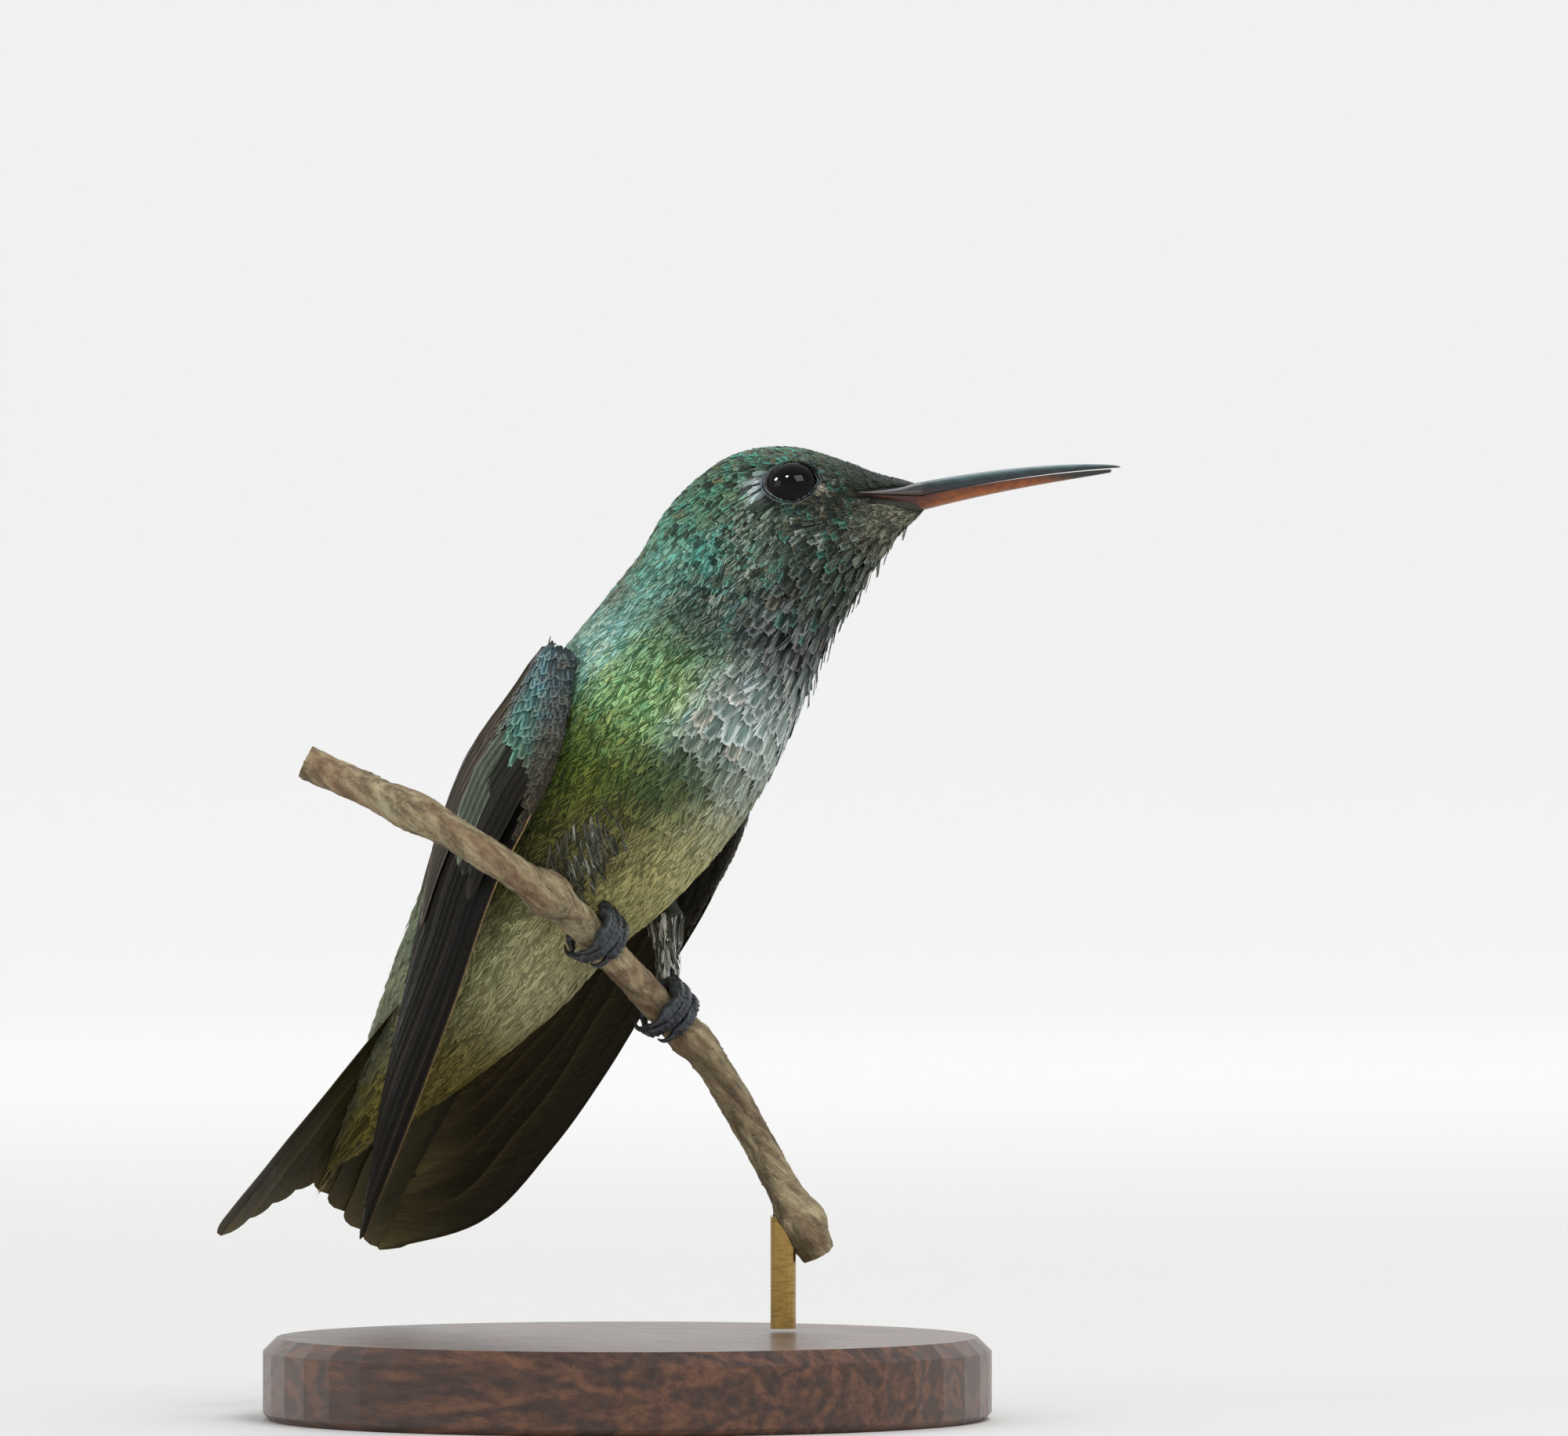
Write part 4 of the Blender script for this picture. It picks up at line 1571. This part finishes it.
# %% Horn finish
ALONG_BILL = {"Rotation": (0.0, math.radians(8.0), -math.radians(28.0)), "Scale": (0.12, 1.0, 1.0)}
GLOSS_COAT = {"Coat_Weight": 0.1, "Coat_Roughness": 0.3}
horn_finish = mottled_finish(
    "bill_horn", 2600.0, "#b8b8b8", "#ffffff", 0.03, (0.34, 0.5), ALONG_BILL, painted=True, **GLOSS_COAT
)
print("horn streaked along the bill")

# %% Bill halves
GAPE, BILL_ROOT, BILL_TIP, BILL_ARCH = (22.5, 40.5), (27.2, 40.33), (44.0, 42.65), 0.35
BILL_HEIGHTS, BILL_WIDTHS, BILL_TAPERS, BILL_PARTING = (2.35, 0.24, 0.5), (2.6, 0.3, 7.8), (0.58, 0.7), 0.1
BILL_ROWS, BILL_SIDES, KEEL_SHORTER = 64, 25, 0.8
GROOVE_DEPTH, GROOVE_AT, GROOVE_LENGTH, RIDGE_HEIGHT = 0.15, 28.6, 2.2, 0.05


def bill_station(x):
    """The bill's half width, half height and middle height at this distance ahead, before the head's turn."""
    share = np.clip((x - BILL_ROOT[0]) / (BILL_TIP[0] - BILL_ROOT[0]), 0.0, 1.0)
    behind = np.clip((BILL_ROOT[0] - x) / (BILL_ROOT[0] - GAPE[0]), 0.0, 1.0)
    height = BILL_HEIGHTS[0] * (1 - share) ** BILL_TAPERS[0] + BILL_HEIGHTS[1] * share
    width = BILL_WIDTHS[0] * (1 - share) ** BILL_TAPERS[1] + BILL_WIDTHS[1] * share
    height = height + (BILL_HEIGHTS[2] - BILL_HEIGHTS[0]) * behind
    width = width + (BILL_WIDTHS[2] - BILL_WIDTHS[0]) * behind
    middle = BILL_ROOT[1] + (BILL_TIP[1] - BILL_ROOT[1]) * share + BILL_ARCH * 4 * share * (1 - share)
    return width / 2, height / 2, middle + (GAPE[1] - BILL_ROOT[1]) * behind


def ridge_colours(forward, level, groove):
    """The upper half: blue-grey above, dark by the face, at the tip and in the groove."""
    colour = mixed(linear("#1c2a2d"), linear("#64878a"), np.clip(level * 1.5 - 0.55, 0, 1))
    near_face = np.clip((0.12 - forward) / 0.12, 0, 1) * np.clip(level * 3 - 0.6, 0, 1) * 0.85
    colour = mixed(colour, linear("#121415"), near_face)
    colour = mixed(colour, linear("#191b1e"), np.clip((forward - 0.8) / 0.2, 0, 1) * 0.7)
    colour = mixed(colour, linear("#0c0f12"), groove / GROOVE_DEPTH * 0.8)
    return colour, np.clip((0.16 - forward) / 0.14, 0, 1) * np.clip(1.15 - level * 2.4, 0, 1)


def keel_colours(forward, level, groove):
    """The lower half: orange brown, and dark towards the tip."""
    colour = mixed(linear("#6f3015"), linear("#ad5f26"), np.clip(level * 1.6 - 0.1, 0, 1))
    dark = np.clip((forward - 0.50 - 0.10 * level) / 0.22, 0, 1)
    return mixed(colour, linear("#2b302c"), dark), np.clip((0.10 - forward) / 0.15, 0, 1) * 0.9


def bill_half(name, way, end, colours, stands_for):
    """The upper half of the bill for way 1, and the lower for way -1."""
    share = 1 - (1 - np.linspace(0, 1, BILL_ROWS)) ** 1.15
    x, angle = grid(GAPE[0] + (end - GAPE[0]) * share, np.linspace(0.0, math.pi, BILL_SIDES))
    half_width, half_height, middle = bill_station(x)
    level = np.sin(angle)
    upper = (1 + way) / 2
    groove = upper * GROOVE_DEPTH * bell(x, GROOVE_AT, GROOVE_LENGTH) * bell(level, 0.5, 0.16)
    rise = (half_height - BILL_PARTING / 2) * level**0.9
    rise = rise + upper * RIDGE_HEIGHT * half_height * bell(level, 1.0, 0.12)
    across = half_width * np.cos(angle) * (1 - groove / np.maximum(half_width, 0.2))
    points = turned(np.stack([x, across, middle + way * (rise - groove * 0.4 + BILL_PARTING / 2)], -1))
    forward = np.clip((x - BILL_ROOT[0]) / (BILL_TIP[0] - BILL_ROOT[0]), -0.3, 1)
    colour, redness = colours(forward, level, groove)
    marks = [("Ground", mixed(colour, linear("#3c1813"), redness).reshape(-1, 3))]
    flat, triangles, corner_map = wrapped(points, (0.02, 0.02, 0.9, 0.96))
    mesh = make_mesh(name, flat, triangles, [("OFBake", corner_map.reshape(-1, 2))], marks, 50)
    add_piece(name, mesh, horn_finish, [stands_for])


bill_half("bill_ridge", 1.0, BILL_TIP[0], ridge_colours, "bill_upper")
bill_half("bill_keel", -1.0, BILL_TIP[0] - KEEL_SHORTER, keel_colours, "bill_lower")

# %% [markdown]
# ## Eyes
# The eyeball is a ball of many rows, so its highlights stay round. It is nearly black, with a brown iris
# that only strong light finds, and very smooth, as if wet.

# %% Eyeballs
EYE_ROWS, EYE_SIDES, EYE_SPREAD = 40, 48, (2.6, 2.4)  # the ball is flat, as birds' eyes are
POLE = 0.02  # how far from its poles its rows start
CORNEA_BULGE, CORNEA_EDGE = 0.015, 1.42
IRIS_FROM, IRIS_BLUR, IRIS_TO = 0.55, 0.1, 1.5

eye_finish = mottled_finish(
    "wet_eye", 1500.0, "#808080", "#ffffff", None, (0.03, 0.06), painted=True, Specular_IOR_Level=0.15
)
for side, (_, tailwards, across, normal) in EYE_AXES.items():
    polar, turn = grid(np.linspace(POLE, math.pi - POLE, EYE_ROWS), turns(EYE_SIDES))
    spread = EYE_SPREAD[0] * np.cos(turn)[..., None] * tailwards
    spread = spread + EYE_SPREAD[1] * np.sin(turn)[..., None] * across
    bulge = 1 + CORNEA_BULGE * np.cos(np.clip(polar * 2.2, 0, math.pi)) * (polar < CORNEA_EDGE)
    ball = EYE_RADIUS * np.cos(polar)[..., None] * normal + np.sin(polar)[..., None] * spread
    iris = np.clip((np.sin(polar) - IRIS_FROM) / IRIS_BLUR, 0, 1) * (polar < IRIS_TO)
    marks = [("Ground", mixed(linear("#020202"), linear("#0c0705"), iris).reshape(-1, 3))]
    points = EYE_CENTRES[side] + bulge[..., None] * ball
    flat, triangles, corner_map = wrapped(points, (0.02, 0.02, 0.96, 0.96))
    mesh = make_mesh(f"eyeball_{side}", flat, triangles, [("OFBake", corner_map.reshape(-1, 2))], marks)
    add_piece(f"eyeball_{side}", mesh, eye_finish, [f"eye_{side}"])


# %% [markdown]
# Two small lamps shine on the eyes alone. They leave the bright points that make an eye look alive.

# %% Sparks in the eyes
def eyes_together(name):
    """The eyeballs in a collection, for lamps to be linked to."""
    made = bpy.data.collections.new(name)
    for side in SIGN:
        made.objects.link(bpy.data.objects[f"eyeball_{side}"])
    return made


lit = eyes_together("lit_by_sparks")
for lamp in sparks:
    lamp.light_linking.receiver_collection = lit
unlit = eyes_together("kept_from_rim_lamp")
for linked in unlit.collection_objects:
    linked.light_linking.link_state = "EXCLUDE"
rim_lamp.light_linking.receiver_collection = unlit

# %% [markdown]
# ## Grown details
# Small things that follow a line are grown by Geometry Nodes: the beads round an eye, the bark of the twig
# and the scutes on the toes. Each tree takes a guide, a curve with a radius at each point, and named
# inputs, with a fixed seed where it draws numbers. It ends by making every copy real and giving it its
# material.

# %% Helpers for Geometry Nodes
def grower(name, **inputs):
    """A Geometry Nodes tree with a geometry input and the named ones, by kind, and its two ends."""
    tree = bpy.data.node_groups.new(name, "GeometryNodeTree")
    named = {label.replace("_", " "): (kind, None) for label, kind in inputs.items()}
    given, result = sockets(tree, {"Geometry": ("Geometry", None)} | named, {"Geometry": "Geometry"})
    return tree, given, result


def any_size(tree, low, high, seed):
    """A size for each copy, between these two."""
    drawn = step(tree, "FunctionNodeRandomValue", {"data_type": "FLOAT"}, Seed=seed)
    drawn.inputs[2].default_value, drawn.inputs[3].default_value = low, high
    return drawn.outputs[1]


def flattened(tree, geometry, scale):
    return step(tree, "GeometryNodeTransform", Geometry=geometry, Scale=scale)


def end_growing(tree, geometry, given, result):
    """The end of each tree: real meshes, smooth and with their material."""
    real = step(tree, "GeometryNodeRealizeInstances", Geometry=geometry)
    smooth = step(tree, "GeometryNodeSetShadeSmooth", Geometry=real)
    dressed = step(tree, "GeometryNodeSetMaterial", Geometry=smooth, Material=given["Material"])
    feed(tree, result["Geometry"], dressed)


def grow(guide, tree, **values):
    """The mesh that the tree makes of the guide, with its inputs set by name. The guide goes."""
    modifier = guide.modifiers.new("growing", "NODES")
    modifier.node_group = tree
    for item in tree.interface.items_tree:
        label = item.name.replace(" ", "_")
        if item.in_out == "INPUT" and label in values:
            modifier[item.identifier] = values[label]
    bpy.context.view_layer.update()
    mesh = bpy.data.meshes.new_from_object(guide.evaluated_get(bpy.context.evaluated_depsgraph_get()))
    bpy.data.objects.remove(guide)
    return mesh


def guide_curve(name, lines, radii=None, closed=False):
    """A curve object through lines of points in millimetres, with a radius at each if given."""
    curve = bpy.data.curves.new(name, "CURVE")
    curve.dimensions = "3D"
    for k, line in enumerate(lines):
        spline = curve.splines.new("POLY")
        spline.points.add(len(line) - 1)
        weighted = np.concatenate([placed(line), np.ones((len(line), 1))], 1)
        spline.points.foreach_set("co", weighted.astype(np.float32).ravel())
        spline.use_cyclic_u = closed
        if radii is not None:
            spline.points.foreach_set("radius", np.asarray(radii[k], np.float32) * MM)
    return put_in_scene(name, curve)


# %% Eyelid beads
BEAD_LINES = ((1.02, -0.10), (1.13, -0.14))  # size against the lid's opening, and height
lid_finish = mottled_finish("eyelid", 2400.0, "#4a5258", "#8c959d", 0.02, 0.5)

beading, given, result = grower(
    "eyelid_beads", Spacing="Float", Size="Float", Seed="Int", Material="Material"
)
walked = step(
    beading, "GeometryNodeResampleCurve", {"mode": "LENGTH"}, Curve=given["Geometry"], Length=given["Spacing"]
)
pebble = step(beading, "GeometryNodeMeshIcoSphere", Radius=given["Size"], Subdivisions=1)
sizes = any_size(beading, 0.75, 1.2, given["Seed"])
beads = step(beading, "GeometryNodeInstanceOnPoints", Points=walked, Instance=pebble, Scale=sizes)
end_growing(beading, beads, given, result)
for side in SIGN:
    lines = [lid_line(side, turns(96), grown, lift) for grown, lift in BEAD_LINES]
    guide = guide_curve(f"lid_line_{side}", lines, closed=True)
    mesh = grow(guide, beading, Spacing=0.2 * MM, Size=0.078 * MM, Seed=3, Material=lid_finish)
    add_piece(f"lid_beads_{side}", mesh, lid_finish)


# %% [markdown]
# ## Perch
# The twig is grown from its line by Geometry Nodes: the line is resampled, its own radii swell it at the
# old leaf scars, noise of two sizes roughens the tube into bark, and small corky lenticels are scattered
# over it.

# %% Bark finish
DRAWN_OUT = 0.78  # how much longer the bark's marks are along the twig

bark_finish, tree, shader = new_material("bark")
where = object_place(tree)
lie = tuple(unit(twig_point(1.0) - twig_point(0.0)))
lengthwise = product(tree, vectors(tree, "DOT_PRODUCT", where, lie), DRAWN_OUT)
where = vectors(tree, "SUBTRACT", where, scaled(tree, lie, lengthwise))
coarse, coarse_height = mottling(tree, where, 420.0, "#7d6d52", "#b8ab88")
grain, grain_height = mottling(tree, where, 1700.0, "#85776a", "#ffffff")
colour = blend(tree, 0.85, coarse, grain, "MULTIPLY")
lichen = ramp(tree, noise(tree, where, 420.0, 3.0), 0.60, 0.70, 0.0, 0.4)
colour = blend(tree, lichen, colour, rgba("#a09c80"))
russet = ramp(tree, noise(tree, where, 300.0, 2.0), 0.52, 0.66, 0.0, 0.3)
colour = blend(tree, russet, colour, rgba("#8d5f45"))
relief = bump(tree, grain_height, 0.08 * MM, 0.9, under=bump(tree, coarse_height, 0.12 * MM, 0.8))
dullness = ramp(tree, grain_height, 0.3, 0.7, 0.7, 0.95)
fill(tree, shader, Base_Color=colour, Roughness=dullness, Normal=relief)

# %% Grow the twig
growing, given, result = grower(
    "bark_tube", Count="Int", Relief="Float", Fine_relief="Float", Lenticel_size="Float", Density="Float",
    Seed="Int", Material="Material",
)
even = step(
    growing, "GeometryNodeResampleCurve", {"mode": "COUNT"}, Curve=given["Geometry"], Count=given["Count"]
)
section = step(growing, "GeometryNodeCurvePrimitiveCircle", Resolution=40, Radius=1.0)
swept = step(growing, "GeometryNodeCurveToMesh", Curve=even, Profile_Curve=section, Fill_Caps=True)
if "Scale" in swept.inputs:
    fill(growing, swept, Scale=step(growing, "GeometryNodeInputRadius"))


def roughness_at(scale, detail, relief):
    """How far noise of this scale lifts the bark, by the named relief."""
    lumps = step(growing, "ShaderNodeTexNoise", {"noise_dimensions": "4D"}, Scale=scale, Detail=detail)
    fill(growing, lumps, Vector=step(growing, "GeometryNodeInputPosition"), W=given["Seed"])
    return product(growing, maths(growing, "SUBTRACT", lumps, 0.55), given[relief])


height = maths(growing, "ADD", roughness_at(420.0, 3.0, "Relief"), roughness_at(1500.0, 2.0, "Fine relief"))
push = scaled(growing, step(growing, "GeometryNodeInputNormal"), height)
bark = step(growing, "GeometryNodeSetPosition", Geometry=swept, Offset=push)
dots = step(
    growing, "GeometryNodeDistributePointsOnFaces", Mesh=bark, Density=given["Density"], Seed=given["Seed"]
)
cork = step(growing, "GeometryNodeMeshIcoSphere", Radius=given["Lenticel size"], Subdivisions=1)
corks = step(
    growing, "GeometryNodeInstanceOnPoints", Points=dots, Instance=flattened(growing, cork, (1.0, 0.55, 0.4)),
    Rotation=dots.outputs["Rotation"], Scale=any_size(growing, 0.5, 1.3, given["Seed"]),
)
both = step(growing, "GeometryNodeJoinGeometry")
for part in (corks, bark):
    feed(growing, both.inputs[0], part)
end_growing(growing, both, given, result)

share = np.linspace(0.0, 1.0, 120)
guide = guide_curve("twig_line", [twig_point(share)], [twig_radius(share)])
sizes = {"Relief": 0.55 * MM, "Fine_relief": 0.22 * MM, "Lenticel_size": 0.2 * MM, "Density": 0.35 / MM**2}
twig_mesh = grow(guide, growing, Count=420, Seed=11, Material=bark_finish, **sizes)
add_piece("perch_twig", twig_mesh, bark_finish, ["perch"])

# %% [markdown]
# ## Feet
# Three toes in front and one behind close round the twig. Each toe is a tube that bulges at its pads, with
# a curved claw of its own. The scutes, small overlapping plates along the back of each toe, follow its line
# at even steps, so Geometry Nodes lay them: the plate's flat side faces away from the twig's axis, which
# the tree is given.

# %% Finishes of toes and claws
foot_finish = mottled_finish("toe_skin", 1600.0, "#15181d", "#3b4047", 0.06, (0.28, 0.45))
claw_finish = mottled_finish("claw_horn", 2400.0, "#141618", "#2e3133", 0.02, 0.28)
print("toes and claws have their own finishes")

# %% Scutes, as a tree
plating, given, result = grower(
    "toe_scutes", Spacing="Float", Size="Float", Axis_point="Vector", Axis="Vector", Material="Material"
)
walked = step(
    plating, "GeometryNodeResampleCurve", {"mode": "LENGTH"}, Curve=given["Geometry"], Length=given["Spacing"]
)
away = vectors(plating, "SUBTRACT", step(plating, "GeometryNodeInputPosition"), given["Axis point"])
lean = scaled(plating, given["Axis"], vectors(plating, "DOT_PRODUCT", away, given["Axis"]))
square = vectors(plating, "NORMALIZE", vectors(plating, "SUBTRACT", away, lean))
way_up = step(
    plating, "FunctionNodeAxesToRotation", {"primary_axis": "Z", "secondary_axis": "X"},
    Primary_Axis=square, Secondary_Axis=step(plating, "GeometryNodeInputTangent"),
)
outside = scaled(plating, square, product(plating, step(plating, "GeometryNodeInputRadius"), 0.93))
raised = step(plating, "GeometryNodeSetPosition", Geometry=walked, Offset=outside)
plate = step(plating, "GeometryNodeMeshUVSphere", Segments=8, Rings=5, Radius=given["Size"])
plate = flattened(plating, plate, (0.62, 1.0, 0.09))
plates = step(plating, "GeometryNodeInstanceOnPoints", Points=raised, Instance=plate, Rotation=way_up)
end_growing(plating, plates, given, result)
print(len(plating.nodes), "nodes lay the scutes")

# %% Tubes
def tube_solid(points, radii, sides, away):
    """A closed round bar through the points, with its first point turned from the given way."""
    run = unit(np.gradient(points, axis=0))
    side = unit(np.cross(run, away))
    up = np.cross(side, run)
    turn = turns(sides)[None, :, None]
    ring = np.cos(turn) * side[:, None] + np.sin(turn) * up[:, None]
    flat = (points[:, None] + radii[:, None, None] * ring).reshape(-1, 3)
    return flat, outwards(flat, loft_faces(len(points), sides)), {}


def rounded(share):
    """A bar's radius where it rounds off to nothing, at 1."""
    return np.sqrt(np.clip(1 - share**2, 0.02, 1))


def add_bars(name, bars, finish, stands_for=()):
    points, triangles, _ = joined(bars)
    add_piece(name, make_mesh(name, points, triangles), finish, stands_for)


# %% Toes, claws and scutes
TOES = [
    # place along the twig, how far round in degrees, which way, drift along the twig, thickness
    (-1, 205.0, 1, 0.35, 0.58),
    (0, 245.0, 1, -0.3, 0.64),
    (1, 178.0, 1, -0.2, 0.56),
    (0, 150.0, -1, 0.9, 0.62),
]
TOE_START, TOE_FAN, TOE_SPACING, TOE_STEPS = -20.0, 8.0, 1.15, 72
CLAW_FROM, CLAW_OVERLAP, CLAW_RADIUS, CLAW_ARCH = 0.8, 0.06, 0.36, 0.10
TARSUS_RADIUS, ANKLE_RADIUS, TARSUS_IN_TUFT, LEG_TURN = 0.55, 0.605, 1.6, np.array((0.31, 0.2, 0.93))
KNUCKLE_RADIUS, KNUCKLE_HALF_LENGTH, KNUCKLE_BACK = 0.72, 0.75, 0.25
for side in SIGN:
    here, direction, up, forward, grip = grip_frame(side)
    ankle = ankle_of(side)
    leg = unit(ankle - np.array(HIPS[side]))
    skins, claws, backs, back_radii = [], [], [], []
    for place, wrap, way, drift, thick in TOES:
        t = np.linspace(0.0, 1.06, TOE_STEPS)
        turn = np.radians(TOE_START + TOE_FAN * place + wrap * t)[:, None]
        phalanx = np.abs(np.sin((t * 3.4 + 0.25 * place) * math.pi))
        spread = TOE_SPACING * place * np.minimum(1.0, 0.3 + 2.4 * t) + drift * t**1.2
        round_twig = np.cos(turn) * up + way * np.sin(turn) * forward
        line = here + (grip * (0.97 + 0.12 * phalanx))[:, None] * round_twig + spread[:, None] * direction
        pads = thick * (0.8 + 0.36 * (1 - phalanx) ** 0.8)
        toe = t <= CLAW_FROM + 0.02
        radii = (pads * rounded(np.clip(t - CLAW_FROM + 0.05, 0, None) / 0.08))[toe]
        skins.append(tube_solid(line[toe], radii, 16, direction))
        backs.append(line[toe])
        back_radii.append(radii)
        claw = t >= CLAW_FROM - CLAW_OVERLAP
        u = np.linspace(0, 1, claw.sum())
        lifted = here + (line[claw] - here) * (1 + CLAW_ARCH * np.sin(u * math.pi))[:, None]
        claws.append(tube_solid(lifted, CLAW_RADIUS * (1 - u) ** 0.7 + 0.02, 12, direction))
    shin = np.linspace(0, 1, 16)
    shin_line = ankle - leg * (ANKLE_BARE + TARSUS_IN_TUFT) * (1 - shin)[:, None]
    shin_radii = TARSUS_RADIUS + (ANKLE_RADIUS - TARSUS_RADIUS) * shin + 0.02 * np.sin(shin * 30)
    skins.append(tube_solid(shin_line, shin_radii, 16, LEG_TURN))
    knuckle = np.linspace(-1, 1, 14)
    knuckle_line = ankle - leg * KNUCKLE_BACK + direction * knuckle[:, None] * KNUCKLE_HALF_LENGTH
    skins.append(tube_solid(knuckle_line, KNUCKLE_RADIUS * rounded(knuckle), 16, LEG_TURN))
    add_bars(f"toes_{side}", skins, foot_finish, [f"foot_{side}"])
    add_bars(f"claws_{side}", claws, claw_finish)
    guide = guide_curve(f"toe_lines_{side}", backs, back_radii)
    axis = {"Axis_point": tuple(placed(here)), "Axis": tuple(direction)}
    mesh = grow(guide, plating, Spacing=0.45 * MM, Size=0.4 * MM, Material=foot_finish, **axis)
    add_piece(f"scutes_{side}", mesh, foot_finish)


# %% [markdown]
# ## Thigh tufts
# Hummingbirds have short legs in loose fluff, white with dark strands between. The vanes are narrow and
# ragged, and hang down the thigh from the same kind of surface as the body's.

# %% Thigh feathers
WHITE_SHARE = {"right": 0.35, "left": 0.6}


def facing_out(surface):
    """The thigh's surface, run round the other way if its normals point inwards."""
    probe, _, _, normal = slopes(surface, np.array([3.0]), np.array([0.5]))
    middle = surface(np.full(24, 3.0), turns(24)).mean(0)
    if np.dot(probe[0] - middle, normal[0]) < 0:
        return lambda place, angle: surface(place, -np.asarray(angle))
    return surface


for number, side in enumerate(SIGN):
    surface = facing_out(thigh_point_of(side))
    roots = scatter_roots(surface, ((1.0, 7.2), (-math.pi, math.pi)), evenly(0.42), 1600)
    count = len(roots[0])
    white = rng.random(count) < WHITE_SHARE[side]
    grows = {
        "ground": mixed(linear("#3d3d36"), linear("#c4c3bb"), white),
        "fringe": mixed(linear("#716f62"), linear("#f2f0e8"), white),
        "length": rng.uniform(2.0, 3.6, count),
        "width": rng.uniform(0.3, 0.5, count),
        "looseness": np.full(count, 0.95),
        "gloss": np.zeros(count),
    }

    def thigh_map(place, angle):
        share = np.mod(angle, 2 * math.pi) / (2 * math.pi)
        return np.stack([0.67 + 0.1 * share, 0.04 + 0.12 * number + 0.08 * place / 7], -1)

    vanes = lay_vanes(surface, *roots, grows, 5, thigh_map, rise=0.1 + 0.4 * rng.random(count))
    name = f"thigh_tuft_{side}"
    add_piece(name, feather_mesh(name, [vanes]), loose_plumage)


# %% [markdown]
# ## Stand
# The base and the rod keep the solids' shapes, which are right, and get finishes: oiled wood with rings and
# grain, and brushed brass.

# %% Wood and brass
GRAIN = {"Location": (0.02, 0.05, 0.03), "Scale": (1.0, 6.0, 6.0)}
RINGS, RING_SCALE = 60.0, 18.0

wood_finish, tree, shader = new_material("oiled_wood")
laid = step(tree, "ShaderNodeMapping", Vector=object_place(tree), **GRAIN)
rings = maths(tree, "SINE", product(tree, noise(tree, laid, RING_SCALE, 3.0), RINGS))
fibre, height = mottling(tree, laid, 260.0, "#9a8a80", "#ffffff")
wood = blend(tree, ramp(tree, rings, -1.0, 1.0), rgba("#4a2c1c"), rgba("#6e452b"))
fill(tree, shader, Base_Color=blend(tree, 1.0, wood, fibre, "MULTIPLY"), Normal=bump(tree, height, 0.04 * MM))
fill(tree, shader, Roughness=ramp(tree, height, 0.3, 0.7, 0.32, 0.5), Coat_Weight=0.3, Coat_Roughness=0.2)
brushed = {"Scale": (1.0, 1.0, 12.0)}
brass_finish = mottled_finish(
    "brushed_brass", 700.0, "#8a6f3c", "#b6975a", None, (0.25, 0.4), brushed, Metallic=1.0
)
for name, finish in (("stand_base", wood_finish), ("stand_rod", brass_finish)):
    for slot in bpy.data.objects[name].material_slots:
        slot.material = finish
print("the stand is of", wood_finish.name, "and", brass_finish.name)
